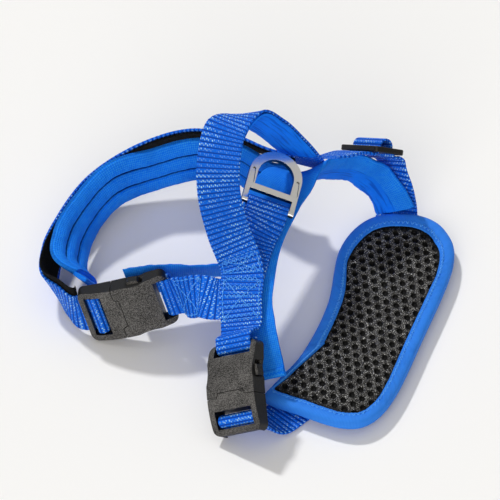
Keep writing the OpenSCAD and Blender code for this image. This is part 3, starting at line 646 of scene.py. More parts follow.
ring_bar = place((10, 131, 61.5), (0.24, 0.92, 0.30), (0.27, -0.34, 0.9))
ring_strap_stations = carried(np.vstack([
    lifted(3, FIRST_PLY, -2.5), lifted(4, FIRST_PLY + 1, -0.5),
    points_in(ring_bar, [(-8, -BAR_WRAP * 0.9)], -1),
    wrap(ring_bar, 0, 0, -90, 90, -1),
    points_in(ring_bar, [(-8, BAR_WRAP * 0.6)], -1),
    lifted(4, SECOND_PLY + 1, -0.5), lifted(3, SECOND_PLY, -2.5)]), WEB_STEP)
ring_web = strap("ring_web", ring_strap_stations, "ring_strap")
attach(ring_web, "harness")


# Leash ring. A cast ring in satin nickel: an arch over a crossbar, a tear-shaped hollow in each
# shoulder and a round bar that the strap is folded round.
RING_NICKEL = (0.95, 0.93, 0.90, 1)
# The shade colour is painted shade on the ring's walls
RING_SHADE = (0.05, 0.048, 0.046, 1)
RING_ROUNDING = 0.0004
RING_ROUGHNESS = 0.3
RING_GRAIN = 2600
RING_RELIEF = 0.00002
MERGE_DISTANCE = 1e-6
FLAT_ANGLE = math.radians(1)
EDGE_ANGLE = math.radians(35)
EDGE_SEGMENTS = 3


def moulded(node, name, material, rounding, face):
    """A copy of a node with its triangles merged, its flat faces joined and its edges rounded
    over. Each facet holds how far it is turned to the fitting's face."""
    source = frame["nodes"][node]
    mesh = bpy.data.meshes.new(name)
    work = bmesh.new()
    work.from_mesh(source.data)
    bmesh.ops.remove_doubles(work, verts=work.verts, dist=MERGE_DISTANCE)
    bmesh.ops.dissolve_limit(work, angle_limit=FLAT_ANGLE, verts=work.verts, edges=work.edges)
    work.to_mesh(mesh)
    work.free()
    mesh.polygons.foreach_set("use_smooth", np.ones(len(mesh.polygons), bool))
    mesh.set_sharp_from_angle(angle=EDGE_ANGLE)
    mesh.materials.append(material)
    normals = np.empty(len(mesh.polygons) * 3, np.float32)
    mesh.polygons.foreach_get("normal", normals)
    mesh.attributes.new("facing", "FLOAT", "FACE").data.foreach_set(
        "value", (normals.reshape(-1, 3) @ face).astype(np.float32))
    made = shown(name, mesh)
    edge = made.modifiers.new("rounded edges", "BEVEL")
    edge.width = rounding
    edge.segments = EDGE_SEGMENTS
    edge.limit_method = "ANGLE"
    edge.angle_limit = EDGE_ANGLE
    edge.harden_normals = True
    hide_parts(node)
    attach(made, source["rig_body"])


def attribute(material, name):
    """The value that a mesh holds under a name."""
    source = material.node_tree.nodes.new("ShaderNodeAttribute")
    source.attribute_name = name
    return source.outputs["Fac"]


def nickel_finish():
    """Satin nickel: bright on the two faces, painted shade on the walls, with a fine cast grain in
    the gloss."""
    material = plain_surface("satin_nickel", RING_NICKEL, RING_ROUGHNESS)
    grain = speckle(object_place(material), RING_GRAIN, 3)
    # Painted shade: facets turned away from the ring's faces go towards the near-black colour
    face = eased(calc("ABSOLUTE", attribute(material, "facing")), 0.5, 0.95)
    return painted(material, grain, RING_RELIEF, Metallic=1.0,
                   Base_Color=mixed(face, RING_SHADE, RING_NICKEL),
                   Roughness=calc("MULTIPLY_ADD", grain, 0.15, 0.14))


moulded("leash_ring", "ring_casting", nickel_finish(), RING_ROUNDING, ring_bar[3])


# Girth arm. Webbing sewn between the saddle pad and the main strap runs left, round the bar of
# the girth buckle and back, with a flap of padding standing behind it.
SOCKET_BAR = (-30, -3.575)
SEWN_LENGTH = 4
ARM_UP = 4
FLAP_WIDTH = 28
FLAP_THICK = 3.2
FLAP_LINE = [
    (-12, 107, 32, 0, -0.5, 0.86),
    (-32, 105, 32, 0, -0.5, 0.86),
    (-52, 102, 30.8, -0.05, -0.2, 0.95),
    (-70, 99, 26.6, -0.1, 0.1, 0.98)]
ARM_LINE = [
    (-28.5, 77.5, 41.5, 0, 0.84, 0.54),
    (-37, 80.5, 37.5, -0.15, 0.5, 0.85)]
girth_place = place((-76, 85.4, 22.6), (-0.94, 0, -0.3), (-0.15, -0.98, 0.15))
bar_x, bar_z = SOCKET_BAR


def spot_in(fitting, x, z):
    """The point at x and z of a fitting."""
    return points_in(fitting, [(x, z)], 1)[0, :3]


def arm_station(lift, side):
    """A station of the arm on the saddle, across it the way the saddle runs there."""
    before, here, after = (lifted(k, lift, side)[0, :3] for k in (1, 2, 3))
    way = unit(after - before)
    return np.r_[here + ARM_UP * way, way][None]


girth_arm_stations = carried(np.vstack([
    arm_station(FIRST_PLY + 0.2, -4), arm_station(FIRST_PLY + 0.2, -SADDLE_WIDTH / 2 - 2.5),
    ARM_LINE,
    points_in(girth_place, [(bar_x - 5, bar_z + BAR_WRAP)], -1),
    wrap(girth_place, bar_x, bar_z, 90, -90, -1),
    points_in(girth_place, [(bar_x - SEWN_LENGTH / 2, bar_z - BAR_WRAP),
                            (bar_x - SEWN_LENGTH, bar_z - BAR_WRAP)], -1)]), WEB_STEP)
girth_arm_web = strap("girth_arm_web", girth_arm_stations, "girth_arm_webbing")
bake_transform(girth_arm_web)

flap_stations = carried(FLAP_LINE, PAD_STEP)
flap_widths = np.full(len(flap_stations), FLAP_WIDTH)
flap_sleeve = sewn_pad("flap_sleeve", flap_stations, flap_widths, FLAP_THICK, -1)
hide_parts("girth_arm_flap")
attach(flap_sleeve, "harness")


# Main strap and handle. One length of webbing goes round the bar of the chest buckle, up the
# saddle and over in a loop as the handle, which has a soft lining sewn under it.
LINING_THICK = 2.4
LINING_WIDTH = 24.6
LINING_COLUMNS = 23
LINING_PUCKER = 0.15
LINING_SHORT = 22
HANDLE_LINE = [
    (-13, 103, 71, 0.98, 0.15, 0),
    (-18, 115, 89, 1, 0.05, 0),
    (-18, 127, 104, 1, 0.05, 0.05),
    (-13, 144, 114, 1, 0, 0.1),
    (-2, 156, 112, 0.9, -0.2, 0.35),
    (11, 162, 98, 0.65, -0.35, 0.65),
    (23, 168, 78, 0.6, -0.45, 0.65),
    (32.4, 175.8, 57.6, 0.42, -0.58, 0.7),
    (36.8, 183.4, 42, 0.42, -0.58, 0.7)]
chest_place = place((-8, 12, 25), (0.06, -0.83, -0.55), (-0.61, -0.47, 0.64))
main_line = np.vstack([
    points_in(chest_place, [(bar_x - SEWN_LENGTH, bar_z - BAR_WRAP * 1.1),
                            (bar_x - SEWN_LENGTH / 2, bar_z - BAR_WRAP * 1.05)], 1),
    wrap(chest_place, bar_x, bar_z, -90, 90, 1),
    points_in(chest_place, [(bar_x - 5, bar_z + BAR_WRAP)], 1),
    lifted(1, THIRD_PLY + 2.5, -3.5), lifted(2, THIRD_PLY + 0.8, -2),
    lifted(3, THIRD_PLY + 0.6, -3.5), HANDLE_LINE])
main_stations = carried(main_line, WEB_STEP)
main_web = strap("main_web", main_stations, "saddle_webbing")
in_metres(lifted(3, THIRD_PLY, -3.5)[0, :3])
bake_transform(main_web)

handle_from = nearest(main_stations, HANDLE_LINE[0])
handle_to = nearest(main_stations, HANDLE_LINE[-2]) - LINING_SHORT
lined = [a[handle_from:handle_to:2] for a in frames(main_stations)]
inner_face = WEB_THICK / 2 + PLY_GAP
across, high, share = pad_section(
    LINING_WIDTH / 2,
    lambda s: -inner_face - 0.25 * LINING_THICK * np.abs(s) ** 8,
    lambda s: -inner_face - LINING_THICK * (0.45 + 0.55 * np.sqrt(1 - np.abs(s) ** 5)),
    LINING_COLUMNS)
height = high + (high < -inner_face - 0.8) * ripple(lined[4][:, None], share, LINING_PUCKER)
handle_sleeve = swept("handle_sleeve", lined, across, height, [lining_cloth])
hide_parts("handle_lining")
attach(handle_sleeve, "harness")


# Stitching. Bonded polyester thread, lighter than the webbing, sews the straps to the saddle and
# the arm in boxes with crosses, and in short zigzag tacks.
THREAD_RADIUS = 0.32
STITCH_LENGTH = 2.3
STITCH_PITCH = 2.7
THREAD_BLUE = (0.09, 0.42, 1.0, 1)
THREAD_SHADE = (0.01, 0.21, 0.82, 1)
THREAD_ROUGHNESS = 0.45
TWIST_SCALE = 1600
TWIST_RELIEF = 0.0001
TUBE_RINGS = 5
TUBE_SIDES = 6
STITCH_START = 0.3
BOX_INSET = 2.0
# Starts and ends of the boxes along the main strap and the arm, from a spot in the middle of
# each, and the first, the last and the number of the tacks that cross the main strap
MAIN_BOXES = ((-14, 15), (16, 30))
ARM_MIDDLE = (-32, 76, 39)
ARM_BOX = (-5, 14)
TACK_ROWS = (-10, 26, 7)
TACK_HALF = 9.5
TACK_WIDTH = 1.8
TACK_PITCH = 1.4


def thread_finish():
    """Bonded polyester thread, with a twist of light and shade along it."""
    material = plain_surface("thread", THREAD_BLUE, THREAD_ROUGHNESS)
    twist = speckle(object_place(material), TWIST_SCALE)
    return painted(material, twist, TWIST_RELIEF,
                   Base_Color=mixed(eased(twist, 0.35, 0.7), THREAD_BLUE, THREAD_SHADE))


thread = thread_finish()


def seam(line):
    """Stitches along a line of places in length and width: the start and end of each."""
    line = np.asarray(line, float)
    run = run_along(line)
    starts = np.arange(STITCH_START, run[-1] - STITCH_LENGTH, STITCH_PITCH)
    return [np.column_stack([np.interp(at, run, column) for column in line.T])
            for at in (starts, starts + STITCH_LENGTH)]


def zigzag_seam(start, end, width, pitch):
    """A zigzag of stitches along a straight line, each stitch from one side to the other."""
    start, end = np.asarray(start, float), np.asarray(end, float)
    way = unit(end - start)
    count = int(np.linalg.norm(end - start) / pitch)
    k = np.arange(count + 1)[:, None]
    side = np.where(k % 2, 1, -1) * width / 2 * np.array([-way[1], way[0]])
    spots = start + k * pitch * way + side
    return spots[:-1], spots[1:]


def outward(mesh):
    """A closed mesh shaded smooth, with its faces turned outwards."""
    mesh.polygons.foreach_set("use_smooth", np.ones(len(mesh.polygons), bool))
    work = bmesh.new()
    work.from_mesh(mesh)
    bmesh.ops.recalc_face_normals(work, faces=work.faces)
    work.to_mesh(mesh)
    work.free()
    return mesh


def sewn(name, seams, spot):
    """Raised stitches as one mesh: each is a six-sided tube that arches from its start to its
    end. spot turns places in length and width into points and outward directions."""
    start, end = (np.vstack(places) for places in zip(*seams))
    first, up = spot(start)
    second, up_end = spot(end)
    way = unit(second - first)
    side = unit(np.cross(way, up + up_end))
    rise = np.cross(side, way)
    k = np.linspace(-1, 1, TUBE_RINGS)
    turn = np.linspace(0, 2 * math.pi, TUBE_SIDES, endpoint=False)[:, None]
    middle = (first + second)[:, None] / 2 + k[None, :, None] * (second - first)[:, None] / 2
    middle = middle + (THREAD_RADIUS * (1.1 - 1.5 * k**2))[None, :, None] * rise[:, None]
    radius = THREAD_RADIUS * np.sqrt(1 - 0.5 * k**4)
    tube = np.cos(turn) * side[:, None, None] + np.sin(turn) * rise[:, None, None]
    points = middle[:, :, None] + radius[None, :, None, None] * tube
    i, j = np.meshgrid(np.arange(TUBE_RINGS - 1), np.arange(TUBE_SIDES), indexing="ij")
    low, high, dj = i * TUBE_SIDES, (i + 1) * TUBE_SIDES, (j + 1) % TUBE_SIDES
    quad = np.stack([low + j, low + dj, high + dj, high + j], -1).reshape(-1, 4)
    ring = np.arange(TUBE_SIDES)
    caps = np.stack([ring[::-1], ring + (TUBE_RINGS - 1) * TUBE_SIDES])
    base = np.arange(len(points))[:, None, None] * TUBE_RINGS * TUBE_SIDES
    faces = (base + quad).reshape(-1, 4).tolist() + (base + caps).reshape(-1, TUBE_SIDES).tolist()
    mesh = bpy.data.meshes.new(name)
    mesh.from_pydata(in_metres(points.reshape(-1, 3)), [], faces)
    mesh.materials.append(thread)
    return shown(name, outward(mesh))


def on_face(stations):
    """Places on a strap: a spot's length and width become a point on its outer face."""
    p, w, n, t, run = frames(stations)

    def spot(places):
        at = [np.interp(places[:, 0], run, column) for column in np.hstack([p, w, n]).T]
        point, across, up = (np.column_stack(at[k:k + 3]) for k in (0, 3, 6))
        return point + places[:, 1:] * across + WEB_THICK / 2 * up, up

    return spot


def box_and_cross(start, end):
    """A box with a cross in it, inside the edges of the webbing, as seams."""
    side = WEB_WIDTH / 2 - BOX_INSET
    near, far = start + BOX_INSET, end - BOX_INSET
    box = [(near, -side), (far, -side), (far, side), (near, side), (near, -side)]
    return [seam(box), seam([(near, -side), (far, side)]), seam([(near, side), (far, -side)])]


def run_at(stations, spot):
    """The length run at the station nearest to a spot."""
    return frames(stations)[4][nearest(stations, spot)]


main_middle = run_at(main_stations, lifted(2, THIRD_PLY, -2)[0])
main_seams = [line for start, end in MAIN_BOXES
              for line in box_and_cross(main_middle + start, main_middle + end)]
main_seams += [zigzag_seam((k, -TACK_HALF), (k, TACK_HALF), TACK_WIDTH, TACK_PITCH)
               for k in main_middle + np.linspace(*TACK_ROWS)]
main_stitches = sewn("main_stitches", main_seams, on_face(main_stations))
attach(main_stitches, "harness")

arm_middle = run_at(girth_arm_stations, ARM_MIDDLE)
arm_seams = box_and_cross(*(arm_middle + np.array(ARM_BOX)))
arm_stitches = sewn("arm_stitches", arm_seams, on_face(girth_arm_stations))
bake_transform(arm_stitches)


# Buckles. Side-release buckles moulded in black acetal: a socket with a bar, a plug with a
# window and an end bar, and two latch arms on the plug whose heads are the side buttons.
BUCKLE_DARK = (0.003, 0.003, 0.003, 1)
# The pale colour is the grain and wear, painted only on the face that catches light, as painted
# light
BUCKLE_WEAR_AND_PAINTED_LIGHT = (0.175, 0.170, 0.167, 1)
BUCKLE_ROUNDING = 0.00055
LATCH_ROUNDING = 0.0003
BUCKLE_GRAIN = 2000
BUCKLE_RELIEF = 0.00012
BUCKLE_ROUGHNESS = 0.36
WEAR_SCALE = 90
PLASTIC_SPECULAR = 0.3


def plastic_finish(name, dark, wear_and_painted_light, grain_scale, relief, roughness):
    """Black acetal: polished sides, and a face with a spark-eroded grain in height and gloss. The
    grain and random wear are painted pale only on facets turned to the fitting's face: painted
    light."""
    material = plain_surface(name, dark, roughness)
    here = object_place(material)
    grain = speckle(here, grain_scale, 3)
    wear = times(eased(speckle(here, WEAR_SCALE), 0.35, 0.7), 0.2)
    tone = calc("MULTIPLY_ADD", eased(grain, 0.42, 0.62), 0.8, wear)
    # Painted light: the pale grain and wear show only on facets turned to the fitting's face
    face = eased(attribute(material, "facing"), 0.72, 1.0)
    return painted(material, grain, relief, Specular_IOR_Level=PLASTIC_SPECULAR,
                   Base_Color=mixed(times(tone, face), dark, wear_and_painted_light),
                   Roughness=calc("MULTIPLY_ADD", grain, 0.25, roughness - 0.12))


buckle_plastic = plastic_finish("buckle_plastic", BUCKLE_DARK, BUCKLE_WEAR_AND_PAINTED_LIGHT, BUCKLE_GRAIN,
                                BUCKLE_RELIEF, BUCKLE_ROUGHNESS)
for buckle, sides, face in (("girth", ("upper", "lower"), girth_place[3]),
                            ("chest", ("left", "right"), chest_place[3])):
    for half, rounding in (("socket", BUCKLE_ROUNDING), ("plug", BUCKLE_ROUNDING),
                           *((f"latch_{side}", LATCH_ROUNDING) for side in sides)):
        moulded(f"{buckle}_{half}", f"{buckle}_{half}_moulding",
                buckle_plastic, rounding, face)


# Girth strap. Webbing goes round the middle bar of the girth plug, leaves under its end bar and
# loops round to the saddle's far end, with black brushed tape sewn to its inner face.
PLUG_BAR = (12.6, -1.29)
END_BAR_X = 17.7
PLUG_LENGTH = 21.1
LEAD_Z = -4.91
TAPE_WIDTH = 22
TAPE_THICK = 1.2
TAPE_PEEK = 8
TAPE_COLUMNS = 31
TAPE_ROUGHNESS = 0.9
TAPE_SPECULAR = 0.1
TUFT_SCALE = 1500
TUFT_RELIEF = 0.0008
TAPE_BLACK = (0.003, 0.003, 0.003, 1)
TAPE_FLUFF = (0.022, 0.022, 0.023, 1)
GIRTH_LINE = [
    (-109, 102, 14, -0.3, 0.08, 0.94),
    (-116, 115, 12.7, -0.4, -0.2, 0.9),
    (-116, 137, 12.7, -0.4, -0.2, 0.9),
    (-109, 160, 13.5, -0.35, -0.2, 0.92),
    (-92, 190, 19, -0.2, -0.2, 0.95),
    (-65, 207, 33, 0, -0.5, 0.86),
    (-35, 213, 40, 0, -0.55, 0.83),
    (-8, 204.5, 44, 0, -0.6, 0.8),
    (15, 190, 47, -0.1, -0.6, 0.75),
    (27, 186.5, 46, -0.1, -0.6, 0.75)]
plug_x, plug_z = PLUG_BAR
girth_stations = carried(np.vstack([
    points_in(girth_place, [(plug_x + 7, plug_z - BAR_WRAP * 2.3),
                            (plug_x, plug_z - BAR_WRAP * 2.1),
                            (plug_x - BAR_WRAP * 0.8, plug_z - BAR_WRAP * 1.4)], -1),
    wrap(girth_place, plug_x, plug_z, 180, 0, -1),
    points_in(girth_place, [(plug_x + BAR_WRAP, LEAD_Z + 1.6), (END_BAR_X, LEAD_Z),
                            (PLUG_LENGTH + 3, LEAD_Z - 0.8)], -1),
    GIRTH_LINE]), WEB_STEP)
girth_web = strap("girth_web", girth_stations, "girth_webbing")
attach(girth_web, "harness")


def brushed_tape():
    """Black brushed loop tape: tufts from fine noise, paler at their tips."""
    material = plain_surface("brushed_tape", TAPE_BLACK, TAPE_ROUGHNESS)
    tuft = speckle(object_place(material), TUFT_SCALE, 4)
    return painted(material, tuft, TUFT_RELIEF, Specular_IOR_Level=TAPE_SPECULAR,
                   Base_Color=mixed(eased(tuft, 0.45, 0.75), TAPE_BLACK, TAPE_FLUFF))


tape_from = nearest(girth_stations, spot_in(girth_place, PLUG_LENGTH + 4, LEAD_Z - 1))
p, w, n, t, run = (a[tape_from:] for a in frames(girth_stations))
peek_end = run_at(girth_stations, GIRTH_LINE[3])
peek = TAPE_PEEK * np.clip((peek_end - run) / (peek_end - run[0]), 0, 1)
across, high, share = pad_section(
    TAPE_WIDTH / 2, lambda s: -inner_face - 0.1 * np.abs(s) ** 6,
    lambda s: -inner_face - TAPE_THICK * np.sqrt(1 - 0.8 * np.abs(s) ** 8), TAPE_COLUMNS)
fluff = 0.12 * (np.sin(run[:, None] * 5.1 + share * 37) * np.sin(run[:, None] * 3.3 - share * 53))
height = high + (high < -inner_face - 0.5) * fluff
grip_tape = swept("grip_tape", (p + peek[:, None] * w, w, n, t, run), across, height,
                  [brushed_tape()])
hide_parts("girth_grip_tape")
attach(grip_tape, "harness")


# Girth pad. A foam sleeve inside the girth loop, quilted along by two seams into three swells,
# and folded into a sewn hem at its near end.
GIRTH_PAD_WIDTH = 31
GIRTH_PAD_THICK = 5.5
GIRTH_PAD_STEP = 0.8
QUILT_COLUMNS = 81
QUILT_PUCKER = 0.22
QUILT_START = 4
QUILT_FADE = 10
CHANNEL_DEPTH = 2.6
CHANNEL_AT = 0.33
CHANNEL_WIDTH = 0.045
GIRTH_HEM_LENGTH = 9
TAIL_SHARE = 0.5
GIRTH_PAD_LINE = [
    (-96.5, 114, 17, -0.35, -0.45, 0.82),
    (-106, 125.5, 17.2, -0.6, -0.35, 0.72),
    (-106, 142, 17.5, -0.62, -0.25, 0.73),
    (-99.2, 163, 19.5, -0.55, -0.2, 0.8),
    (-82, 186, 25, -0.32, 0.1, 0.93),
    (-57, 201, 24, 0, 0.12, 0.99),
    (-30, 205, 29, 0, 0.08, 1),
    (-6, 197.5, 32.5, 0, 0.05, 1),
    (14, 184, 31, 0.1, 0.2, 0.95),
    (28, 184, 40, 0.1, 0.1, 0.98)]


def quilted(share):
    """Depth of the inner face: the swell of the sleeve, less a narrow groove at each seam."""
    groove = np.exp(-((np.abs(share) - CHANNEL_AT) / CHANNEL_WIDTH) ** 2)
    pillow = 0.1 * np.cos(math.pi * share / CHANNEL_AT)
    return GIRTH_PAD_THICK * (swell(share) + pillow * (1 - share**2)) - CHANNEL_DEPTH * groove


girth_pad_stations = carried(GIRTH_PAD_LINE, GIRTH_PAD_STEP)
girth_pad_frames = frames(girth_pad_stations)
run = girth_pad_frames[4][:, None]
share_up = np.linspace(-1, 1, QUILT_COLUMNS)
share = np.r_[share_up, share_up[-2:0:-1]]
inner = np.arange(len(share)) >= QUILT_COLUMNS
plain_depth = GIRTH_PAD_THICK * swell(share)
quilting = np.clip((run - QUILT_START) / QUILT_FADE, 0, 1)
depth = plain_depth + quilting * (quilted(share) - plain_depth)
height = np.where(inner, -depth + ripple(run * 1.4, share * 3, QUILT_PUCKER),
                  GIRTH_PAD_THICK * (swell(share) - 1) * OUTER_CROWN)
side = share * GIRTH_PAD_WIDTH / 2
# The sewn-in tail narrows from full width to its share of it
tail = run_at(girth_pad_stations, GIRTH_PAD_LINE[-2])
narrowed = side * (1 - (1 - TAIL_SHARE) * np.clip((run - tail) / (run[-1] - tail), 0, 1))
girth_canvas = woven_cloth("girth_canvas", pitch=1.25, relief=0.0003, highlight_share=0.9,
                           seam=CHANNEL_AT * GIRTH_PAD_WIDTH / 2)
girth_sleeve = swept("girth_sleeve", girth_pad_frames, narrowed, height, [girth_canvas],
                     side + np.where(inner, INNER_MAP, 0))
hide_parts("girth_pad")
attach(girth_sleeve, "harness")

girth_fold = folded_hem("girth_fold", girth_pad_stations, GIRTH_PAD_WIDTH,
                        GIRTH_PAD_THICK * 0.45, GIRTH_HEM_LENGTH)
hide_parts("girth_pad_hem")
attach(girth_fold, "harness")


# Chest strap. Webbing goes over the middle bar of the chest plug, drops out of its window and
# runs back along the table under the chest pad, to which it is sewn.
TABLE_PLY = WEB_THICK / 2
CHEST_LINE = [
    (2.4, 6, 7.5, -0.85, 0.42, -0.32),
    (11, 11.5, TABLE_PLY + 2.2, -0.85, 0.5, -0.04),
    (22, 22, TABLE_PLY + 0.8, -0.82, 0.57, 0),
    (40, 48, TABLE_PLY + 0.3, -0.88, 0.47, 0),
    (58, 92, TABLE_PLY, -0.97, 0.25, 0),
    (68, 128, TABLE_PLY, -0.97, 0.25, 0),
    (76, 157, TABLE_PLY, -0.97, 0.25, 0)]
chest_stations = carried(np.vstack([
    points_in(chest_place, [(plug_x - BAR_WRAP * 0.7, plug_z - BAR_WRAP * 2.6),
                            (plug_x - BAR_WRAP, plug_z - BAR_WRAP)], -1),
    wrap(chest_place, plug_x, plug_z, 180, 0, -1),
    points_in(chest_place, [(plug_x + BAR_WRAP, plug_z - BAR_WRAP),
                            (plug_x + BAR_WRAP, plug_z - BAR_WRAP * 2.2)], -1),
    CHEST_LINE]), WEB_STEP)
chest_web = strap("chest_web", chest_stations, "chest_webbing")
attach(chest_web, "harness")


# Chest pad. An hourglass of foam between a backing cloth and black air mesh, with a stretch
# binding folded round its edge and sewn through all the layers.
PAD_LENGTH = 178
LOBE_WIDTH = 68
WAIST_WIDTH = 62
FOOT_WIDTH = 64
TIP_REACH = 13
TIP_LENGTH = 12
PAD_THICK = 9
EDGE_THICK = 5.5
CUP_RISE = 3
BINDING_WIDTH = 8
TOP_FLARE = 0.45
BACKING_THICK = 1
MESH_THICK = 2.5
UNDER_LIP = 3.2
PAD_RINGS = 40
PAD_CORE = 0.02
OUTLINE_CUTS = 40
PAD_EDGE_STEP = 0.9
PAD_Z = WEB_THICK + PLY_GAP
pad_place = place((50, 6, PAD_Z), (0.251, 0.968, 0), (0, 0, 1))
pad_middle = np.array([PAD_LENGTH * 0.48, 0])
PAD_OUTLINE = np.array([
    (PAD_LENGTH - 1, -2), (PAD_LENGTH * 0.95, -LOBE_WIDTH * 0.33),
    (PAD_LENGTH * 0.8, -LOBE_WIDTH / 2), (PAD_LENGTH * 0.43, -WAIST_WIDTH / 2),
    (PAD_LENGTH * 0.17, -FOOT_WIDTH * 0.42), (PAD_LENGTH * 0.04, -FOOT_WIDTH * 0.28),
    (0, -FOOT_WIDTH * 0.03), (PAD_LENGTH * 0.025, FOOT_WIDTH * 0.4),
    (TIP_LENGTH * 0.75, FOOT_WIDTH / 2 + TIP_REACH),
    (TIP_LENGTH * 1.5, FOOT_WIDTH / 2 + TIP_REACH - 1),
    (PAD_LENGTH * 0.28, WAIST_WIDTH * 0.54), (PAD_LENGTH * 0.52, WAIST_WIDTH * 0.47),
    (PAD_LENGTH * 0.78, LOBE_WIDTH * 0.49), (PAD_LENGTH * 0.94, LOBE_WIDTH * 0.33)])


def outline(step):
    """The pad's edge in even steps, as places on the pad, the inward direction at each, and the
    length run. It is a closed curve through the outline's points, of cubics whose slope at a
    point is half the way from the point before it to the one after."""
    a, b, c, d = (np.roll(PAD_OUTLINE, k, axis=0)[:, None] for k in (1, 0, -1, -2))
    t = np.linspace(0, 1, OUTLINE_CUTS, endpoint=False)[None, :, None]
    fine = 0.5 * (2 * b + (c - a) * t + (2 * a - 5 * b + 4 * c - d) * t**2
                  + (3 * b - a - 3 * c + d) * t**3).reshape(-1, 2)
    loop = np.vstack([fine, fine[:1]])
    length = run_along(loop)
    run = np.linspace(0, length[-1], int(length[-1] / step), endpoint=False)
    at = np.column_stack([np.interp(run, length, column) for column in loop.T])
    way = unit(np.roll(at, -1, axis=0) - np.roll(at, 1, axis=0))
    return at, np.column_stack([way[:, 1], -way[:, 0]]), np.r_[run, length[-1]]


edge_at, edge_in, edge_run = outline(PAD_EDGE_STEP)
to_middle = unit(pad_middle - edge_at)
top_share = np.maximum(0, (edge_at[:, 0] / PAD_LENGTH - 0.8) / 0.2)
facing_in = np.maximum(0.45, (to_middle * edge_in).sum(1))
inward_share = (facing_in / (1 + TOP_FLARE * top_share))[:, None]


def inset(depth):
    """The outline drawn in by a depth, towards the pad's middle."""
    return edge_at + depth / inward_share * to_middle


def on_pad(at, high):
    """Places on the pad, and heights over its back, as points of the routes."""
    o, x, y, z = pad_place
    return o + at[..., :1] * x + at[..., 1:] * y + high[..., None] * z


def pad_height(reach, share):
    """Height over the table side: the back rises to the edge, and the pad thins towards it."""
    return CUP_RISE * reach**2 + share * (EDGE_THICK + (PAD_THICK - EDGE_THICK) * (1 - reach**3))


def pad_layer(name, low, high, material):
    """A layer of the pad between two shares of its thickness: rings from the middle out on the
    upper face, round the edge under the binding's lip, and back to the middle on the lower
    face."""
    rim = inset(UNDER_LIP)
    reach = np.r_[np.linspace(PAD_CORE, 1, PAD_RINGS), np.linspace(1, PAD_CORE, PAD_RINGS)]
    face = np.repeat([1, -1], PAD_RINGS)
    rounding = 0.25 * np.clip((reach - 0.96) / 0.04, 0, 1)
    share = np.where(face > 0, high, low) - face * (high - low) * rounding
    at = pad_middle + reach[:, None, None] * (rim - pad_middle)[None]
    up = np.broadcast_to(pad_height(reach, share)[:, None], at.shape[:2])
    return skin(name, on_pad(at, up), at, [material])


BACKING_SHARE = BACKING_THICK / PAD_THICK
FOAM_TOP = 1 - MESH_THICK / PAD_THICK
LAYER_GAP = PLY_GAP / PAD_THICK
FOAM_DARK = (0.003, 0.003, 0.003, 1)
FOAM_PALE = (0.02, 0.02, 0.02, 1)
FOAM_ROUGHNESS = 0.95
PORE_SCALE = 1300
PORE_RELIEF = 0.0006


def foam_finish():
    """Black open-cell foam, pitted by fine noise."""
    material = plain_surface("black_foam", FOAM_DARK, FOAM_ROUGHNESS)
    pores = speckle(object_place(material), PORE_SCALE, 4)
    return painted(material, pores, PORE_RELIEF,
                   Base_Color=mixed(eased(pores, 0.4, 0.7), FOAM_DARK, FOAM_PALE))


backing_cloth = pad_layer("backing_cloth", 0, BACKING_SHARE, pad_cloth)
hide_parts("chest_backing")
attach(backing_cloth, "harness")

foam_slab = pad_layer("foam_slab", BACKING_SHARE + LAYER_GAP, FOAM_TOP - LAYER_GAP, foam_finish())
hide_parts("chest_foam")
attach(foam_slab, "harness")


# Air mesh. A knitted spacer fabric of black polyester, whose face is a net of staggered oval
# holes. It lies on the foam, and its edge is caught in the binding.
HOLE_PITCH = np.array([10.8, 7.0])
HOLE_HALF = np.array([1.55, 2.1])
HOLE_DEPTH = 1.6
NET_TURN = math.radians(5)
MESH_CELL = 0.55
MESH_RECESS = 0.45
NET_SIDES = (-45, 50)
NET_ROUGHNESS = 0.55
NET_SPECULAR = 0.12
NET_RELIEF = 0.0006
YARN_SCALE = 1100
GLINT_SCALE = 1800
GLINT_SHARE = 0.8
NET_GREY = (0.060, 0.058, 0.056, 1)
NET_GLINT_HIGHLIGHT = (0.80, 0.80, 0.78, 1)
# Near black: the dark yarns, and painted shade in the holes and by the binding
NET_BLACK_AND_HOLE_SHADE = (0.002, 0.002, 0.002, 1)

rim = inset(UNDER_LIP) - pad_middle
rim_turn = np.arctan2(rim[:, 1], rim[:, 0])
order = np.argsort(rim_turn)
rim_turn, rim_radius = rim_turn[order], np.linalg.norm(rim, axis=1)[order]
panel_radius = np.linalg.norm(inset(BINDING_WIDTH) - pad_middle, axis=1)[order]


def net_relief(at):
    """Depth of the holes at places on the pad, from 0 on the net to 1 in a hole: how far a place
    is from the nearest of two staggered lattices of oval holes, turned to lie square to the
    picture."""
    o, x, y, z = pad_place
    spot = at[..., :1] * x[:2] + at[..., 1:] * y[:2]
    turned = np.stack([spot[..., 0] * math.cos(NET_TURN) + spot[..., 1] * math.sin(NET_TURN),
                       spot[..., 1] * math.cos(NET_TURN) - spot[..., 0] * math.sin(NET_TURN)], -1)
    away = [((turned / HOLE_PITCH + shift) % 1 - 0.5) * HOLE_PITCH / HOLE_HALF
            for shift in (0, 0.5)]
    ease = np.clip((1.3 - np.linalg.norm(away, axis=-1).min(0)) / 0.55, 0, 1)
    return ease * ease * (3 - 2 * ease)


grid_x, grid_y = np.meshgrid(np.arange(0, PAD_LENGTH, MESH_CELL),
                             np.arange(*NET_SIDES, MESH_CELL), indexing="ij")
at = np.stack([grid_x, grid_y], -1)
from_middle = at - pad_middle
turn = np.arctan2(from_middle[..., 1], from_middle[..., 0])
radius = np.linalg.norm(from_middle, axis=-1)
reach = radius / np.interp(turn, rim_turn, rim_radius, period=2 * math.pi)
panel_reach = radius / np.interp(turn, rim_turn, panel_radius, period=2 * math.pi)
inside = reach <= 1
cells = inside[:-1, :-1] & inside[1:, :-1] & inside[:-1, 1:] & inside[1:, 1:]
pit = net_relief(at)
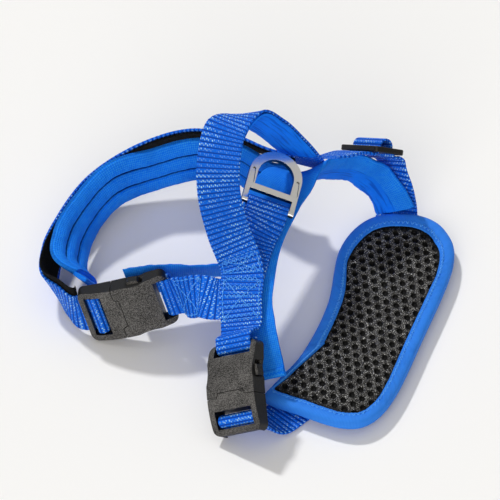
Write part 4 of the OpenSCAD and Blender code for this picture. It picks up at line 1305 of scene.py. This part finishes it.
# The border share sinks the net by the binding and is also painted there as shade
border = 0.5 * np.clip((panel_reach - 0.82) / 0.18, 0, 1) ** 2
recess = 2 * MESH_RECESS * border
yarn_wave = 0.1 * np.sin(grid_x * 4.1 + grid_y * 2.3) * np.sin(grid_y * 5.3 - grid_x * 1.7)
capped_reach = np.minimum(panel_reach, 1)
top = pad_height(capped_reach, 1) - recess - HOLE_DEPTH * pit + yarn_wave * (1 - pit)
bottom = pad_height(capped_reach, FOAM_TOP) - recess * 0.5
number = np.arange(pit.size).reshape(pit.shape)
a, b, c, d = number[:-1, :-1], number[1:, :-1], number[1:, 1:], number[:-1, 1:]
below = number.size
faces = [np.stack([a, b, c, d], -1)[cells], np.stack([a, d, c, b], -1)[cells] + below]
padded_cells = np.pad(cells, 1)
for first, second, (i, j) in ((b, a, (1, 2)), (c, b, (2, 1)), (d, c, (1, 0)), (a, d, (0, 1))):
    beside = padded_cells[i:i + cells.shape[0], j:j + cells.shape[1]]
    wall = np.stack([first, second, second + below, first + below], -1)
    faces.append(wall[cells & ~beside])
used, faces = np.unique(np.vstack(faces), return_inverse=True)
spots = np.vstack([on_pad(at, top).reshape(-1, 3), on_pad(at, bottom).reshape(-1, 3)])[used]
net_mesh = bpy.data.meshes.new("air_mesh")
net_mesh.from_pydata(in_metres(spots), [], faces.reshape(-1, 4).tolist())
# The pit attribute holds the depth of the holes and the border share, and both are painted as shade
net_mesh.attributes.new("pit", "FLOAT", "POINT").data.foreach_set(
    "value", np.r_[np.maximum(pit, border).ravel(), np.ones(pit.size)][used])


def net_finish():
    """Black polyester net: grey yarns with painted glints of highlight, and painted shade, near
    black, in the holes and at the border by the binding.
    """
    material = plain_surface("air_net", NET_GREY, NET_ROUGHNESS)
    here = object_place(material)
    yarn = speckle(here, YARN_SCALE, 3)
    # Painted highlight: glints of the pale colour on the yarns, from thresholded noise
    glint = times(eased(speckle(here, GLINT_SCALE, 1), 0.6, 0.7), GLINT_SHARE)
    net = mixed(glint, mixed(eased(yarn, 0.38, 0.6), NET_BLACK_AND_HOLE_SHADE, NET_GREY), NET_GLINT_HIGHLIGHT)
    # Painted shade, near black, in the holes and at the border by the binding, from the pit
    # attribute
    hole = eased(attribute(material, "pit"), 0.1, 0.5)
    return painted(material, yarn, NET_RELIEF, Specular_IOR_Level=NET_SPECULAR,
                   Base_Color=mixed(hole, net, NET_BLACK_AND_HOLE_SHADE))


air_mesh = shown("air_mesh", outward(net_mesh))
air_mesh.data.materials.append(net_finish())
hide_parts("chest_mesh")
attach(air_mesh, "harness")


# Binding. A knitted stretch tape folded round the pad's edge: fine ribs across it, and a
# zigzag seam along its upper lip.
LIP_OVER = 0.12
LIP_CLOTH = 0.9
BINDING_RIB = 0.85
BINDING_ROUND = 3.2
BINDING_FLAT = 3.4
ROUND_COLUMNS = 19
FLAT_COLUMNS = 9
BINDING_ROUGHNESS = 0.65
BINDING_SPECULAR = 0.2
BINDING_RELIEF = 0.00015
BINDING_PATCH = 120
LIP_SEAM = 6.2
LIP_SEAM_WIDTH = 1.6
LIP_SEAM_PITCH = 1.5
BINDING_MID = (0.019, 0.210, 0.86, 1)
BINDING_RIB_HIGHLIGHT = (0.050, 0.30, 0.96, 1)
BINDING_DARK = (0.006, 0.12, 0.60, 1)


def binding_section():
    """The tape's section as depth from the edge and share of the edge's thickness: over the
    top from its lip, round the edge, under to the lower lip, and back inside the fold."""
    half = 0.5 + LIP_OVER
    turn = np.radians(np.linspace(90, -90, ROUND_COLUMNS))
    around = np.column_stack([BINDING_ROUND * (1 - np.abs(np.cos(turn)) ** 0.7),
                              0.5 + half * signed_power(np.sin(turn), 0.8)])
    flat = np.linspace(BINDING_WIDTH, BINDING_FLAT, FLAT_COLUMNS)
    over = np.column_stack([flat, np.full(FLAT_COLUMNS, 0.5 + half)])
    under = np.column_stack([flat[::-1], np.full(FLAT_COLUMNS, 0.5 - half)])
    cloth = LIP_CLOTH / EDGE_THICK
    back = [(BINDING_WIDTH + 0.25, half - cloth / 2), (BINDING_WIDTH, half - cloth),
            (4, half - cloth), (1.6, 0.15)]
    lip = np.array([(depth, 0.5 - high) for depth, high in back]
                   + [(depth, 0.5 + high) for depth, high in back[::-1]])
    return np.vstack([over, around, under, lip])


section = binding_section()
puff = np.sin(np.clip(section[:, 0] / BINDING_WIDTH, 0, 1) * math.pi) ** 2 * (section[:, 1] > 0.9)
along = edge_run[:-1, None]
tuck = 0.14 * np.cos(2 * math.pi * along / 2.6) * (section[:, 0] > 5)
wave = 0.12 * np.sin(along * 0.41) + 0.1 * np.sin(along * 0.97)
ring_at = edge_at[:, None] + section[None, :, :1] / inward_share[:, None] * to_middle[:, None]
up = pad_height(np.ones(1), section[:, 1])[None] + 0.35 * puff + (tuck + wave) * (section[:, 1] > 1)
walk = run_along(section * (1, EDGE_THICK))
uv = np.stack(np.broadcast_arrays(edge_run[:, None], np.r_[walk, walk[-1] + 0.5][None]), -1)


def binding_finish():
    """Stretch binding: fine ribs across its width with a painted highlight on their crests, and
    a soft sheen.
    """
    material = plain_surface("binding", BINDING_MID, BINDING_ROUGHNESS)
    turn = times(map_place(material)[0], 2 * math.pi / BINDING_RIB)
    rib = calc("MULTIPLY_ADD", calc("COSINE", turn), 0.5, 0.5)
    patch = eased(speckle(object_place(material), BINDING_PATCH), 0.5, 0.8)
    # Painted highlight: the rib crests go towards the light blue
    tone = mixed(times(rib, 0.6), BINDING_MID, BINDING_RIB_HIGHLIGHT)
    return painted(material, rib, BINDING_RELIEF, Specular_IOR_Level=BINDING_SPECULAR,
                   Base_Color=mixed(times(patch, 0.3), tone, BINDING_DARK))


binding = skin("binding_tape", on_pad(ring_at, up), uv, [binding_finish()], closed_along=True)
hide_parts("chest_binding")
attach(binding, "harness")


def on_lip(places):
    """Places along the pad's edge and in from it, as points on the binding's upper lip."""
    at = [np.interp(places[:, 0] % edge_run[-1], edge_run[:-1], column)
          for column in np.hstack([edge_at, to_middle, inward_share]).T]
    spot = np.column_stack(at[:2]) + (places[:, 1] / at[4])[:, None] * np.column_stack(at[2:4])
    up = np.full(len(places), pad_height(1, 1 + LIP_OVER) + 0.1)
    return on_pad(spot, up), np.broadcast_to([0, 0, 1.0], (len(places), 3))


lip_seam = zigzag_seam((0, LIP_SEAM), (edge_run[-1], LIP_SEAM), LIP_SEAM_WIDTH, LIP_SEAM_PITCH)
binding_stitches = sewn("binding_stitches", [lip_seam], on_lip)
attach(binding_stitches, "harness")


# Neck strap and slider. Webbing sewn to the neck arm weaves up through a black slider, over its
# middle bar in a hump, down again and under the top of the chest pad.
SLIDER_HALF = 11
UNDER_Z = -2.8
OVER_Z = 2.8
HUMP_Z = 6.3
WEAVE = [(12, UNDER_Z), (7.2, UNDER_Z), (5.2, UNDER_Z * 0.35), (4.4, OVER_Z * 0.5),
         (4.0, OVER_Z * 1.35), (2.4, HUMP_Z - 0.6)]
NECK_ROOT = [
    (44.6, 170.6, 62.2, 0.6, -0.55, 0.58),
    (51.5, 175.5, 59.5, 0.64, -0.57, 0.52)]
SLIDER_ROUNDING = 0.0007
SLIDER_GRAIN = 2400
SLIDER_RELIEF = 0.00004
SLIDER_ROUGHNESS = 0.3
SLIDER_DARK = (0.010, 0.0097, 0.0095, 1)
# The pale colour is the grain and wear, painted only on the face that catches light, as painted
# light
SLIDER_WEAR_AND_PAINTED_LIGHT = (0.040, 0.038, 0.037, 1)
slider_place = place((71.5, 190, 49.5), (0.76, 0.37, -0.53), (0.11, 0.73, 0.67))
pad_o, pad_x, pad_y, pad_up = pad_place


def pad_top(a, b, z, *across):
    """A station past the top of the chest pad, and to its left."""
    return np.r_[pad_o + (PAD_LENGTH + a) * pad_x + b * pad_y + (z - PAD_Z) * pad_up, across][None]


neck_line = np.vstack([
    NECK_ROOT,
    points_in(slider_place, [(-SLIDER_HALF - 6, UNDER_Z - 0.6)] + [(-x, z) for x, z in WEAVE], -1),
    points_in(slider_place, [(0, HUMP_Z)] + WEAVE[::-1], -1),
    points_in(slider_place, [(SLIDER_HALF + 4, UNDER_Z - 1.5),
                             (SLIDER_HALF + 5.5, UNDER_Z - 5)], -1),
    pad_top(6, 12, 27, 0.8, -0.48, 0.36), pad_top(4.5, 10.5, 16, 0.9, -0.36, 0.2),
    pad_top(3, 9.5, 8, 0.95, -0.3, 0.1), pad_top(0, 9, 3, 0.96, -0.27, 0),
    pad_top(-13, 8.5, TABLE_PLY + 0.1, 0.97, -0.25, 0)])
neck_stations = carried(neck_line, WEB_STEP)
hump = nearest(neck_stations, spot_in(slider_place, 0, HUMP_Z))
neck_upper = strap("neck_web_upper", neck_stations[:hump + 1], "neck_webbing")
neck_lower = strap("neck_web_lower", neck_stations[hump:], None)
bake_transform(neck_upper)
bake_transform(neck_lower)

slider_plastic = plastic_finish("slider_plastic", SLIDER_DARK, SLIDER_WEAR_AND_PAINTED_LIGHT, SLIDER_GRAIN,
                                SLIDER_RELIEF, SLIDER_ROUGHNESS)
moulded("neck_slider", "slider_moulding", slider_plastic, SLIDER_ROUNDING,
        slider_place[3])
